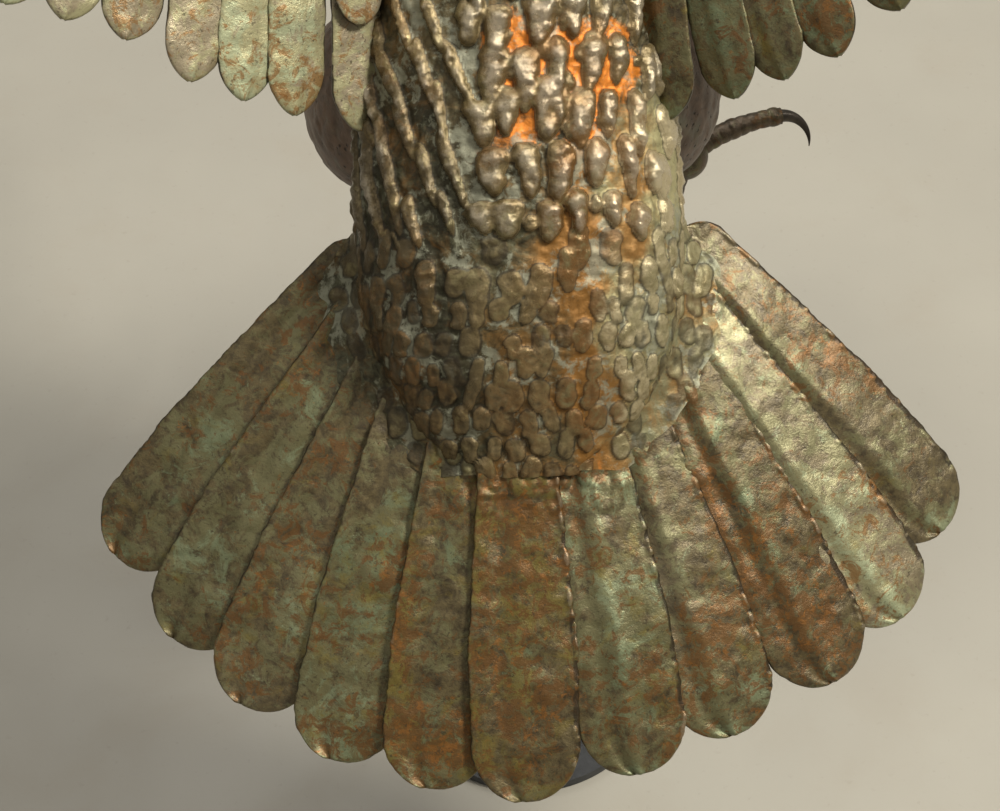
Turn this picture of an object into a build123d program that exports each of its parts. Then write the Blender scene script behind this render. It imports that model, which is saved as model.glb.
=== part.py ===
from build123d import *
import os
from math import asin, atan2, cos, degrees, hypot, pi, radians, sin, sqrt

# Eagle weather vane: a hollow copper eagle in a landing pose, welded to a vertical rotor tube that turns
# freely on a fixed steel mast. Millimetres, +Z up, +Y is the way the beak points, +X is the eagle's right.
# The origin is the centre of the base flange's underside, on the mast's axis.

# ---------------------------------------------------------------- driving dimensions
BODY_PITCH = 40.0  # the back's slope above the horizontal
TAIL_ROOT = (0.0, -176.0, 500.0)  # where the tail leaves the rump, in the vane's frame
SHEET = 1.5  # copper sheet of the feathers
SHELL = 2.5  # wall of the body shells
CLEAR = 0.35  # gap left where pieces meet on curved faces

FLANGE_R, FLANGE_T, FLANGE_PCD, FLANGE_HOLE_R = 95.0, 8.0, 150.0, 5.5
SOCKET_R, SOCKET_H = 24.0, 70.0
PIPE_R, PIPE_BORE_R, PIPE_TOP = 16.7, 13.3, 372.0
SPINDLE_R, SPINDLE_PLUG = 8.0, 60.0
BALL_R = 6.0
ROTOR_R, ROTOR_BORE_R = 15.0, 11.5
ROTOR_LOW, ROTOR_TOP = 380.0, 690.0
BUSH_LEN, BUSH_GAP = 30.0, 0.05
CAP_T, PAD_T = 8.0, 4.0
SPAR_R, LEG_BAR_R, BACKBONE_R = 5.5, 4.5, 7.0

# Rump, back, belly and neck: distance along the back from the tail root, height of the section's centre,
# forward tilt, half width, rise of the back and depth of the belly.
BODY_STATIONS = [
    (-6, -5, 0, 32, 10, 9),
    (16, -5, 0, 57, 22, 20),
    (48, -4, 0, 77, 40, 34),
    (100, -2, 0, 89, 57, 50),
    (160, 0, 0, 88, 67, 64),
    (225, 0, 0, 85, 71, 76),
    (290, 0, 0, 87, 73, 84),
    (345, -2, 4, 87, 68, 82),
    (396, -9, 13, 75, 57, 70),
    (440, -21, 24, 59, 47, 56),
    (480, -40, 34, 49, 42, 48),
    (510, -62, 42, 44, 39, 43),
]
# The head in its own frame: distance from the neck joint, centre height, half width, rise and depth.
HEAD_TILT = 44.0
HEAD_STATIONS = [
    (0, 0, 44, 39, 43),
    (26, 4, 43, 38, 37),
    (52, 6, 39, 34, 31),
    (76, 4, 32, 27, 26),
    (94, 0, 23, 20, 20),
]
EYE_AT, EYE_R = (66.0, 26.0, 15.0), 8.0  # along the head, outwards, up
# Beak stations: distance, height, tilt, half width, rise and depth.
UPPER_BEAK = [
    (94.3, 3, 0, 19, 17, 11),
    (112, 3, 4, 15, 15.5, 10),
    (128, -1, 22, 11.5, 13, 9.5),
    (140, -11, 50, 8, 9.5, 8),
    (146, -25, 78, 4, 5, 5),
    (145, -37, 92, 1.2, 1.4, 1.4),
]
LOWER_BEAK = [
    (94.3, -14, 0, 15.5, 4, 6),
    (108, -17, 8, 12.5, 3.5, 5.5),
    (122, -19, 8, 8.5, 2.8, 4.2),
    (131, -20.5, 8, 3.5, 1.6, 2.4),
]

# Tail fan: eleven feathers on concentric sheets, the middle one on top. Each has its tip and its angle,
# from the eagle's left to its right.
TAIL_TIPS = [(-242.5, -51.4, -42.5), (-208.3, -100.6, -33.5), (-168.9, -138.7, -26), (-117.3, -170.4, -15.5),
             (-62.1, -187.6, -8), (-7.8, -196.4, -0.6), (58.2, -183.6, 8), (114.5, -164.2, 17.5),
             (175, -137, 25.5), (217.2, -102.8, 34), (244.8, -53, 41)]
TAIL_LENGTH, TAIL_ROOT_W, TAIL_W = 236.0, 19.0, 31.0
TAIL_STEP = 2.4  # from one sheet's layer to the next
TAIL_CROWN = (0.0, 60.0)
TAIL_ACROSS_R, TAIL_ALONG_R = 620.0, 1400.0

# Wing: a doubly curved surface in a frame at the wing's crown. Along the span u counts outwards from the
# shoulder and t counts along the back, as the body's stations do.
WING_CROWN = (380.0, 380.0)  # u and t of the crown
WING_AT = (392.0, 380.0, 214.0)  # the crown in the bird's frame
WING_DIHEDRAL = 18.7
WING_SPAN_R, WING_CHORD_R = 1400.0, 620.0
WING_STEP = 2.1  # each feather's layer lies this far under the one nearer the body
SHOULDER_U, ROOT_PITCH = 36.0, 22.0
ARM_LINE = [(40, 391), (92, 402), (146, 416), (198, 434), (250, 453), (298, 469), (345, 481), (400, 490),
            (455, 495), (505, 497)]
ARM_HALF = [(26, 15), (24, 14.5), (22, 13.5), (20, 13), (18.5, 12), (17, 11.5), (16, 11), (13, 9.5),
            (10.5, 8), (8, 6.5)]
SECONDARIES = 14
SECONDARY_TIPS = [(29, 183), (68, 190), (97, 197), (127, 206), (162, 226), (194, 235), (224, 242), (253, 249),
                  (283, 256), (312, 263), (342, 270), (371, 277), (401, 284), (430, 291)]
RIGHT_ANGLES = [0, 8, 13, 17, 20, 22.5, 24.5, 26, 27.5, 28.5, 29.5, 30, 30.5, 31]
LEFT_ANGLES = [-3, 0, 3, 7, 12, 16, 19.5, 22, 24.5, 26.5, 28, 29, 30, 31]
PRIMARY_U = [330, 351, 374, 398, 422, 445, 467, 487, 505, 505]
PRIMARY_ANGLES = [31.5, 34.5, 39, 44.5, 51, 58, 65.5, 73.5, 82, 91]
PRIMARY_LENGTHS = [212, 226, 243, 261, 278, 292, 303, 310, 307, 291]

# Legs in the bird's frame, for the eagle's right side: hip, ankle and the middle of the foot.
HIP, ANKLE = (66.0, 218.0, -28.0), (108.0, 214.0, -205.0)
FOOT = {1: (118.0, 196.0, -288.0), -1: (100.0, 206.0, -292.0)}
THIGH_STATIONS = [(0, 30, 48), (0.2, 42, 57), (0.42, 42, 54), (0.7, 27, 34), (1, 12, 13.5)]
SHANK_R = [11.0, 8.0, 8.5, 11.0]
# Each toe: its first direction, the way it curls, its length and its claw's length.
TOES = {
    1: [((0.84, 0.50, -0.10), (0.30, -0.93, -0.2), 62, 34),
        ((0.12, 0.95, -0.30), (0.1, -0.3, -0.95), 72, 36),
        ((-0.80, 0.50, -0.30), (0.2, -0.3, -0.93), 58, 34),
        ((-0.30, -0.92, -0.25), (0.0, 0.25, -0.97), 44, 40)],
    -1: [((0.34, 0.86, -0.38), (0.2, -0.35, -0.92), 60, 34),
         ((-0.28, 0.92, -0.28), (0.0, -0.3, -0.95), 72, 36),
         ((-0.88, 0.35, -0.30), (-0.1, -0.2, -0.97), 58, 34),
         ((0.10, -0.94, -0.30), (0.0, 0.25, -0.97), 44, 40)],
}
TOE_R0, TOE_R1, CLAW_R = 7.2, 5.6, 4.5
FOOT_R = 16.5  # the pad the toes grow from
TOE_BEND, CLAW_BEND = 24.0, 105.0  # degrees turned over a toe and over a claw


# ---------------------------------------------------------------- frames
def bird_frame():
    """Local x is the eagle's right, y runs along the back to the head, z stands out of the back."""
    a = radians(BODY_PITCH)
    return Location(Plane(TAIL_ROOT, x_dir=(1, 0, 0), z_dir=(0, -sin(a), cos(a))))


def wing_frame():
    """The right wing's frame in the bird's: local x outwards along the span, y to the leading edge."""
    return Location(WING_AT, (0, -WING_DIHEDRAL, 0))


BIRD, WING = bird_frame(), wing_frame()


def to_vane(shape):
    return BIRD * shape


def bird_point(x, y, z):
    """A point of the bird's frame in the vane's frame."""
    return (BIRD * Location((x, y, z))).position


def sheet_height(x, y, across_r, along_r):
    """Height of the curved surface over the point x, y, both from its crown."""
    around = across_r - along_r + sqrt(along_r**2 - y**2)
    return sqrt(around**2 - x**2) - across_r


# ---------------------------------------------------------------- shared shapes
def section(x, y, z, tilt, half_w, up, down):
    """A body section: two half ellipses, on a plane tilted forward from the bird's cross plane."""
    a = radians(tilt)
    plane = Plane((x, y, z), x_dir=(1, 0, 0), z_dir=(0, -cos(a), sin(a)))
    top = EllipticalCenterArc((0, 0), half_w, up, start_angle=0, arc_size=180)
    bottom = EllipticalCenterArc((0, 0), half_w, down, start_angle=180, arc_size=180)
    return plane * make_face([top, bottom])


def body_loft(grow):
    """The whole rump, body and neck, swollen by grow."""
    faces = []
    for t, n, tilt, half_w, up, down in BODY_STATIONS:
        faces.append(section(0, t, n, tilt, half_w + grow, up + grow, down + grow))
    return loft(faces)


def make_sheet(across_r, along_r, layer, thick, size):
    """A square patch of the curved surface, moved out by layer, with its crown at the origin."""
    half = min(size / 2 / along_r, 1.2)
    edges, corners = [], []
    for r in (along_r + layer - thick / 2, along_r + layer + thick / 2):
        ends = [Vector(0, r * sin(a), r * cos(a) - along_r) for a in (-half, half)]
        middle = Vector(0, 0, r - along_r)
        edges.append(ThreePointArc(ends[0], middle, ends[1]))
        corners.append(ends)
    edges.append(Line(corners[0][0], corners[1][0]))
    edges.append(Line(corners[0][1], corners[1][1]))
    turn = degrees(size / across_r)
    axis = Axis((0, 0, -across_r), (0, 1, 0))
    patch = revolve(make_face(edges), axis, revolution_arc=turn)
    return Location((0, 0, -across_r)) * Rotation(0, -turn / 2, 0) * Location((0, 0, across_r)) * patch


def blade_outline(length, root_w, max_w, belly, tip_w, tip_at, tip):
    """A feather's plan: root on the origin, tip along +Y. belly and tip_at are shares of the length."""
    y1, y2 = belly * length, tip_at * length
    left, right = [(-root_w, 0), (-max_w, y1)], [(root_w, 0), (max_w, y1)]
    if tip_at > belly:
        left.append((-tip_w, y2))
        right.append((tip_w, y2))
    edges = [Line(left[0], right[0])]
    for side in (left, right):
        edges += [Line(p, q) for p, q in zip(side, side[1:])]
    if tip == "round":
        edges.append(EllipticalCenterArc((0, y2), tip_w, length - y2, start_angle=0, arc_size=180))
    else:
        bulge = (tip_w * 0.66, y2 + (length - y2) * 0.62)
        edges.append(ThreePointArc(right[-1], bulge, (0, length)))
        edges.append(ThreePointArc((0, length), (-bulge[0], bulge[1]), left[-1]))
    return make_face(edges)


def blade(sheet, outline, at, angle, depth=170.0):
    """Cuts a feather out of a curved sheet. angle turns its tip from -Y towards +X."""
    place = Location((at[0], at[1], -depth)) * Rotation(0, 0, angle - 180)
    return sheet & (place * extrude(outline, 2 * depth))


def rod(start, end, radius):
    """A round bar between two points."""
    axis = Vector(*end) - Vector(*start)
    return Plane(start, z_dir=axis) * Cylinder(radius, axis.length, align=(Align.CENTER, Align.CENTER, Align.MIN))


def tube(radius, bore, low, high):
    """An upright tube on the mast's axis."""
    solid = Cylinder(radius, high - low) - Cylinder(bore, high - low)
    return Location((0, 0, (low + high) / 2)) * solid


def disc(radius, low, high):
    return Location((0, 0, (low + high) / 2)) * Cylinder(radius, high - low)


def write(name, shape):
    export_step(shape, f"parts/{name}.step")


def group(solids):
    """Separate solids kept together in one node."""
    flat = []
    for item in solids:
        flat += item.solids()
    return Compound(flat)


# ---------------------------------------------------------------- mast
def make_mast():
    flange = disc(FLANGE_R, 0, FLANGE_T)
    bolts = PolarLocations(FLANGE_PCD / 2, 4, start_angle=45)
    flange -= Location((0, 0, FLANGE_T / 2)) * bolts * Cylinder(FLANGE_HOLE_R, FLANGE_T)
    socket_top = FLANGE_T + SOCKET_H
    socket = tube(SOCKET_R, PIPE_R, FLANGE_T, socket_top)
    screw_z, screw_r = socket_top - 16, 4.0
    screws = []
    for angle in (0, 120, 240):
        turn = Rotation(0, 0, angle)
        socket -= turn * rod((PIPE_R - 5, 0, screw_z), (SOCKET_R + 7, 0, screw_z), screw_r)
        shank = rod((PIPE_R, 0, screw_z), (SOCKET_R + 7, 0, screw_z), screw_r)
        head = rod((SOCKET_R + 1, 0, screw_z), (SOCKET_R + 7, 0, screw_z), 6.5)
        screws.append(turn * (shank + head))
    rib = Plane.XZ * make_face(Polyline((SOCKET_R, FLANGE_T), (FLANGE_R - 36, FLANGE_T), (SOCKET_R, FLANGE_T + 44),
                                        close=True))
    rib = extrude(rib, 2.5, both=True) - disc(SOCKET_R, 0, 200)
    write("base_flange", flange)
    write("mast_socket", socket)
    write("socket_screws", group(screws))
    write("socket_gussets", group([Rotation(0, 0, a) * rib for a in (60, 180, 300)]))
    write("mast_pipe", tube(PIPE_R, PIPE_BORE_R, FLANGE_T, PIPE_TOP))
    ball_z = ROTOR_TOP - PAD_T - BALL_R
    spindle = disc(PIPE_BORE_R, PIPE_TOP - SPINDLE_PLUG, PIPE_TOP) + disc(SPINDLE_R, PIPE_TOP, ball_z)
    spindle -= Location((0, 0, ball_z)) * Sphere(BALL_R)
    write("spindle", spindle)
    write("thrust_ball", Location((0, 0, ball_z)) * Sphere(BALL_R))


def make_rotor():
    write("rotor_tube", tube(ROTOR_R, ROTOR_BORE_R, ROTOR_LOW, ROTOR_TOP))
    bore = SPINDLE_R + BUSH_GAP
    write("lower_bush", tube(ROTOR_BORE_R, bore, ROTOR_LOW, ROTOR_LOW + BUSH_LEN))
    upper = ROTOR_TOP - 40
    write("upper_bush", tube(ROTOR_BORE_R, bore, upper - BUSH_LEN, upper))
    # The pad's cup stands clear of the ball by the same running gap as the bushes.
    ball_z = ROTOR_TOP - PAD_T - BALL_R
    pad = disc(ROTOR_BORE_R, ROTOR_TOP - PAD_T - 2, ROTOR_TOP)
    write("thrust_pad", pad - Location((0, 0, ball_z)) * Sphere(BALL_R + BUSH_GAP))
    write("rotor_cap", disc(ROTOR_R, ROTOR_TOP, ROTOR_TOP + CAP_T))
    # A spun copper skirt that sheds rain past the pipe's top.
    skirt_top, skirt_low = ROTOR_LOW + 26, ROTOR_LOW - 34
    outer = Location((0, 0, (skirt_top + skirt_low) / 2)) * Cone(27, ROTOR_R + 2, skirt_top - skirt_low)
    inner = Location((0, 0, (skirt_top + skirt_low) / 2 - 2)) * Cone(25, ROTOR_R, skirt_top - skirt_low)
    write("rain_skirt", outer - inner - disc(ROTOR_R, 0, 900))


# ---------------------------------------------------------------- body
def fan_slot():
    """The room the tail's sheets need between the back and the belly."""
    layers = len(TAIL_TIPS) // 2 * TAIL_STEP
    thick = layers + SHEET + 2 * CLEAR
    slab = make_sheet(TAIL_ACROSS_R, TAIL_ALONG_R, -layers / 2, thick, 460)
    return Location((*TAIL_CROWN, 0)) * slab & Location((0, 20, 0)) * Box(300, 290, 80)


def root_plate():
    """The plate under the feathers' roots that joins them to the strut, inside the belly."""
    layer = -(len(TAIL_TIPS) // 2) * TAIL_STEP - SHEET / 2 - CLEAR - 1.5
    slab = make_sheet(TAIL_ACROSS_R, TAIL_ALONG_R, layer, 3.0, 300)
    room = Location((0, 66, 0)) * Box(136, 96, 120)
    return Location((*TAIL_CROWN, 0)) * slab & room & body_loft(-SHELL - 1)


def make_frame():
    """The steel bars inside the body that carry the copper. Returns the room each one needs."""
    rotor = disc(ROTOR_R, 0, 900)
    plate = to_vane(root_plate())
    write("tail_root_plate", plate)
    strut = rod(bird_point(0, 199, -36), bird_point(0, 60, -21.5), SPAR_R) - rotor - plate
    write("tail_strut", max(strut.solids(), key=lambda s: s.volume))
    backbone = rod(bird_point(0, 236, 7.5), bird_point(0, 396, 14), BACKBONE_R)
    write("backbone", backbone - rotor)
    rooms = []
    for side, name in ((1, "right"), (-1, "left")):
        half = Location((side * 500, 0, 500)) * Box(1000, 2000, 2000)
        inner, outer = spar_line(side)
        write(f"{name}_wing_spar", (rod(inner, outer, SPAR_R) & half) - backbone)
        write(f"{name}_leg_bar", (leg_bar(side, LEG_BAR_R) & half) - rotor)
        rooms += [rod(inner, outer, SPAR_R + CLEAR), leg_bar(side, LEG_BAR_R + CLEAR)]
    return rooms


def make_body(cutters):
    """Back and belly are two thin shells with one seam between them, open where the tail's sheets pass."""
    shell = body_loft(0) - body_loft(-SHELL)
    shell -= fan_slot()
    seam = Location((0, 250, -6 - 150)) * Box(260, 640, 300)
    back, belly = to_vane(shell - seam), to_vane(shell & seam)
    for cutter in cutters:
        back -= cutter
        belly -= cutter
    write("back_shell", back)
    write("belly_shell", belly)


def head_place():
    a = radians(HEAD_TILT)
    t, n = BODY_STATIONS[-1][0], BODY_STATIONS[-1][1]
    return t, n, a


def head_section(s, up_off, tilt, half_w, up, down):
    """A section of the head or beak, s along the head's axis and up_off above it."""
    t, n, a = head_place()
    y = t + s * cos(a) + up_off * sin(a)
    z = n - s * sin(a) + up_off * cos(a)
    return section(0, y, z, HEAD_TILT + tilt, half_w, up, down)


def head_loft(grow):
    faces = [head_section(s, h, 0, w + grow, up + grow, down + grow) for s, h, w, up, down in HEAD_STATIONS]
    return loft(faces)


def make_head():
    t, n, a = head_place()
    s, out, up = EYE_AT
    eyes = []
    head = head_loft(0) - head_loft(-SHELL)
    for side in (1, -1):
        centre = Location((side * out, t + s * cos(a) + up * sin(a), n - s * sin(a) + up * cos(a)))
        eyes.append(centre * Sphere(EYE_R))
        head -= centre * Sphere(EYE_R + CLEAR)
    neck_end = section(0, t, n, BODY_STATIONS[-1][2], 90, 90, 90)
    head -= extrude(neck_end, 60)
    write("head_shell", to_vane(head))
    write("eyes", group([to_vane(e) for e in eyes]))
    write("upper_beak", to_vane(loft([head_section(*row) for row in UPPER_BEAK])))
    write("lower_beak", to_vane(loft([head_section(*row) for row in LOWER_BEAK])))


# ---------------------------------------------------------------- tail
def make_tail():
    outline = blade_outline(TAIL_LENGTH, TAIL_ROOT_W, TAIL_W, 0.62, TAIL_W, 0.86, "round")
    crown = Location((*TAIL_CROWN, 0))
    middle = len(TAIL_TIPS) // 2
    for i, (tip_x, tip_y, angle) in enumerate(TAIL_TIPS):
        sheet = make_sheet(TAIL_ACROSS_R, TAIL_ALONG_R, -abs(i - middle) * TAIL_STEP, SHEET, 700)
        a = radians(angle)
        root = (tip_x - TAIL_LENGTH * sin(a) - TAIL_CROWN[0], tip_y + TAIL_LENGTH * cos(a) - TAIL_CROWN[1])
        write(f"tail_feather_{i + 1:02d}", to_vane(crown * blade(sheet, outline, root, angle)))


# ---------------------------------------------------------------- wings
def arm_at(u):
    """t on the arm's middle line, its slope, and its half chord and half thickness at u."""
    u = min(max(u, ARM_LINE[0][0]), ARM_LINE[-1][0])
    for i in range(len(ARM_LINE) - 1):
        (u0, t0), (u1, t1) = ARM_LINE[i], ARM_LINE[i + 1]
        if u <= u1:
            f = (u - u0) / (u1 - u0)
            (a0, b0), (a1, b1) = ARM_HALF[i], ARM_HALF[i + 1]
            return t0 + f * (t1 - t0), (t1 - t0) / (u1 - u0), a0 + f * (a1 - a0), b0 + f * (b1 - b0)


def layer_at(u):
    """The wing surface sinks by one layer for each feather outwards."""
    return -(u - SHOULDER_U) / ROOT_PITCH * WING_STEP


def wing_point(u, t, rise=0.0):
    """A point of the wing's middle surface in the wing's frame."""
    x, y = u - WING_CROWN[0], t - WING_CROWN[1]
    return Vector(x, y, sheet_height(x, y, WING_SPAN_R, WING_CHORD_R) + layer_at(u) + rise)


def remiges(angles):
    """Root, angle and length of each flight feather of the right wing, from the body outwards."""
    rows = []
    root_w = 9.0
    for (tip_u, tip_t), angle in zip(SECONDARY_TIPS, angles):
        a = radians(angle)
        length = 190.0
        for _ in range(12):
            u = tip_u - length * sin(a)
            t, slope, half, _ = arm_at(u)
            gap = (half + 1.5) * hypot(1, slope) + root_w * abs(sin(a))
            length = (t - gap - tip_t) / cos(a)
        rows.append((u, tip_t + length * cos(a), angle, length))
    for u, angle, length in zip(PRIMARY_U, PRIMARY_ANGLES, PRIMARY_LENGTHS):
        a = radians(angle)
        t, slope, half, _ = arm_at(u)
        off = half + 1.5 + root_w
        if u < ARM_LINE[-1][0]:
            along = atan2(slope, 1)
            rows.append((u + off * sin(along), t - off * cos(along), angle, length))
        else:
            rows.append((u + 1 + 8 * abs(cos(a)), t - (4 if angle < 90 else -2), angle, length))
    return rows


def cut_row(rows, outline_of, layer_of):
    """Cuts a row of feathers, one from each of its own curved layers."""
    made = []
    for k, (u, t, angle, length) in enumerate(rows):
        sheet = make_sheet(WING_SPAN_R, WING_CHORD_R, layer_of(k), SHEET, 1100)
        made.append(blade(sheet, outline_of(k, length), (u - WING_CROWN[0], t - WING_CROWN[1]), angle))
    return made


def flight_outline(k, length):
    if k < SECONDARIES:
        return blade_outline(length, 9, 16.5, 0.55, 16.5, 0.87, "pointed")
    return blade_outline(length, 8, 17.5, 0.42, 13, 0.90, "round")


def covert_rows(rows, share, reach, first=0, last=None):
    """Shorter feathers on the same roots, moved forward by reach."""
    chosen = []
    for u, t, angle, length in rows[first:last]:
        a = radians(angle)
        chosen.append((u - reach * sin(a), t + reach * cos(a), angle, length * share + reach))
    return chosen


def make_arm(wall):
    """The wing's leading edge less wall, tapering from the shoulder to the last joint of the hand."""
    faces = []
    shoulder = WING.inverse() * Location((44.0, 366.0, 18.0))
    faces.append(Plane(shoulder.position, x_dir=(0, 1, 0), z_dir=(0.62, 0, 0.5)) * Ellipse(32 - wall, 22 - wall))
    for i, ((u, t), (half, thick)) in enumerate(zip(ARM_LINE, ARM_HALF)):
        before, after = ARM_LINE[max(i - 1, 0)], ARM_LINE[min(i + 1, len(ARM_LINE) - 1)]
        along = wing_point(*after) - wing_point(*before)
        chord = Vector(0, 1, 0) - along * (along.Y / along.dot(along))
        at = wing_point(u, t)
        faces.append(Plane(at, x_dir=chord, z_dir=along) * Ellipse(half - wall, thick - wall))
    return loft(faces)


def make_wing(side, angles, body_room, flank_cut):
    """side 1 is the eagle's right. Every piece is made for the right and mirrored for the left."""
    name = "right" if side > 0 else "left"

    def place(shape):
        shape = WING * shape
        if side < 0:
            shape = mirror(shape, about=Plane.YZ)
        return to_vane(shape)

    rows = remiges(angles)
    step = WING_STEP
    arm_solid = make_arm(0)
    flights = cut_row(rows, flight_outline, lambda k: -k * step)

    def clear(feathers):
        """Places a row of feathers, its first two cut clear of the arm and the body."""
        inner = [max((place(f - arm_solid) - body_room).solids(), key=lambda s: s.volume) for f in feathers[:2]]
        return inner + [place(f) for f in feathers[2:]]

    write(f"{name}_secondaries", group(clear(flights[:SECONDARIES])))
    write(f"{name}_primaries", group([place(f) for f in flights[SECONDARIES:]]))

    greater = covert_rows(rows, 0.42, 0)
    if side < 0:
        u, t, angle, _ = greater[0]
        greater[0] = (u + 8, t, angle - 3, 126)
    outline = lambda k, length: blade_outline(length, 8.5, 15, 0.5, 15, 0.82, "round")
    write(f"{name}_greater_coverts", group(clear(cut_row(greater, outline, lambda k: (3 - k) * step))))

    median = covert_rows(rows, 0.2, 8, last=-3)
    outline = lambda k, length: blade_outline(length, 7.5, 13.5, 0.5, 13.5, 0.78, "round")
    write(f"{name}_median_coverts", group(clear(cut_row(median, outline, lambda k: (7 - k) * step))))

    under = covert_rows(rows, 0.36, 0)
    outline = lambda k, length: blade_outline(length, 8, 14.5, 0.5, 14.5, 0.8, "round")
    write(f"{name}_under_coverts", group(clear(cut_row(under, outline, lambda k: (-3 - k) * step))))

    wrist_k = (ARM_LINE[6][0] - SHOULDER_U) / ROOT_PITCH
    alula = [(352 + 11 * i, 470 - 2 * i, 66 + 8 * i, 92 - 10 * i) for i in range(3)]
    outline = lambda k, length: blade_outline(length, 6, 10, 0.5, 9, 0.82, "round")
    write(f"{name}_alula", group([place(f) for f in cut_row(alula, outline, lambda k: (9 - wrist_k - k) * step)]))

    arm = place(arm_solid - make_arm(SHELL)) - body_room
    arm = max(arm.solids(), key=lambda s: s.volume)
    write(f"{name}_wing_arm", arm - flank_cut)


def spar_line(side):
    """The spar's ends: on the rotor's axis plane and inside the arm near the elbow."""
    outer = (WING * Location(wing_point(120, 408))).position
    inner = bird_point(0, 372, 16)
    out = bird_point(side * outer.X, outer.Y, outer.Z)
    return inner, out


# ---------------------------------------------------------------- legs
def toe_curve(start, first, curl, length, bend):
    """Points and directions along a circular arc that turns from first towards curl."""
    first = Vector(*first).normalized()
    curl = Vector(*curl)
    curl = (curl - first * curl.dot(first)).normalized()
    total = radians(bend)
    radius = length / total
    out = []
    steps = 6
    for i in range(steps + 1):
        a = total * i / steps
        at = Vector(*start) + first * (radius * sin(a)) + curl * (radius * (1 - cos(a)))
        out.append((at, first * cos(a) + curl * sin(a), curl * cos(a) - first * sin(a)))
    return out


def tapered(path, radii):
    """A round tapering solid along a toe curve."""
    faces = [Plane(at, x_dir=side, z_dir=along) * Circle(r) for (at, along, side), r in zip(path, radii)]
    return loft(faces)


def leg_bar(side, radius):
    """The bar from the rotor's axis out to the hip and down the thigh."""
    hip, ankle = bird_point(side * HIP[0], *HIP[1:]), bird_point(side * ANKLE[0], *ANKLE[1:])
    end = ankle + (hip - ankle).normalized() * 8
    return rod((0, 0, hip.Z), hip, radius) + Location(hip) * Sphere(radius) + rod(hip, end, radius)


def make_leg(side, body_room):
    name = "right" if side > 0 else "left"

    def place(shape):
        return to_vane(mirror(shape, about=Plane.YZ) if side < 0 else shape)

    hip, ankle, foot = Vector(*HIP), Vector(*ANKLE), Vector(*FOOT[side])
    axis = ankle - hip
    lean = (Vector(0, 1, 0) - axis * (axis.Y / axis.dot(axis))).normalized()

    def thigh(wall):
        faces = [Plane(hip + axis * f, x_dir=lean, z_dir=axis) * Ellipse(along - wall, half - wall)
                 for f, half, along in THIGH_STATIONS]
        return loft(faces)

    shell = place(thigh(0) - thigh(SHELL)) - body_room
    write(f"{name}_thigh", max(shell.solids(), key=lambda s: s.volume))

    down = foot - ankle
    faces = []
    for i, r in enumerate(SHANK_R):
        faces.append(Plane(ankle + down * (i / (len(SHANK_R) - 1)), z_dir=down) * Circle(r))
    pad = Location(foot) * Sphere(FOOT_R)
    shank = loft(faces) + pad
    shank -= Plane(ankle, z_dir=axis) * Box(80, 80, 60, align=(Align.CENTER, Align.CENTER, Align.MAX))
    write(f"{name}_shank", place(shank))

    toes, claws = [], []
    for first, curl, length, claw in TOES[side]:
        start = foot + Vector(*first).normalized() * (FOOT_R - 4)
        path = toe_curve(start, first, curl, length, TOE_BEND)
        n = len(path) - 1
        toe = tapered(path, [TOE_R0 + (TOE_R1 - TOE_R0) * i / n for i in range(n + 1)])
        toes.append(place(toe - pad))
        end, direction, turn = path[-1]
        hook = toe_curve(end + direction * 0.2, direction, turn, claw, CLAW_BEND)
        claws.append(place(tapered(hook, [CLAW_R * (1 - i / (n + 0.6)) for i in range(n + 1)])))
    write(f"{name}_toes", group(toes))
    write(f"{name}_claws", group(claws))


def main():
    os.makedirs("parts", exist_ok=True)
    make_mast()
    make_rotor()
    body_room = to_vane(body_loft(CLEAR))
    bars = make_frame()
    make_body([disc(ROTOR_R + CLEAR, 0, ROTOR_TOP + CAP_T + CLEAR), *bars])
    make_head()
    make_tail()
    for side, angles, bar in ((1, RIGHT_ANGLES, bars[0]), (-1, LEFT_ANGLES, bars[2])):
        make_wing(side, angles, body_room, bar)
        make_leg(side, body_room)


main()
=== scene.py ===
from math import atan2, cos, hypot, pi, radians, sin

import bpy
import numpy as np
from mathutils import Matrix, Vector


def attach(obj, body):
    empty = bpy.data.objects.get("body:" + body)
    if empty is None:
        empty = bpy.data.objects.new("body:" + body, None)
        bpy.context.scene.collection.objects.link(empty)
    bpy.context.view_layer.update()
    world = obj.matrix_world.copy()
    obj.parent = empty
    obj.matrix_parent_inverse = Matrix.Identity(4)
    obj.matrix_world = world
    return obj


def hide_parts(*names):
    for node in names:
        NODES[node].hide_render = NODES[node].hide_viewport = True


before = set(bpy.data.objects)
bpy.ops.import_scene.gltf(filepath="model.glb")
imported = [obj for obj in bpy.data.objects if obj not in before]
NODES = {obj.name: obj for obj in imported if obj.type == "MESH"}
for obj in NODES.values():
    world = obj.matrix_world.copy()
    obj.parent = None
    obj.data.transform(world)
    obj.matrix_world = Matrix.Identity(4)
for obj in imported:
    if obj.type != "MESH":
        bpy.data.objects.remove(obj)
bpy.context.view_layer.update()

MM = 0.001
SIDES = {1: "right", -1: "left"}

# ---------------------------------------------------------------- the part's own dimensions, in mm
BODY_PITCH, TAIL_ROOT = 40.0, np.array([0.0, -176.0, 500.0])
SHEET = 1.5
BODY_STATIONS = np.array([
    (-6, -5, 0, 32, 10, 9), (16, -5, 0, 57, 22, 20), (48, -4, 0, 77, 40, 34), (100, -2, 0, 89, 57, 50),
    (160, 0, 0, 88, 67, 64), (225, 0, 0, 85, 71, 76), (290, 0, 0, 87, 73, 84), (345, -2, 4, 87, 68, 82),
    (396, -9, 13, 75, 57, 70), (440, -21, 24, 59, 47, 56), (480, -40, 34, 49, 42, 48),
    (510, -62, 42, 44, 39, 43)], float)
HEAD_TILT = 44.0
HEAD_STATIONS = np.array([(0, 0, 44, 39, 43), (26, 4, 43, 38, 37), (52, 6, 39, 34, 31), (76, 4, 32, 27, 26),
                          (94, 0, 23, 20, 20)], float)
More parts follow.
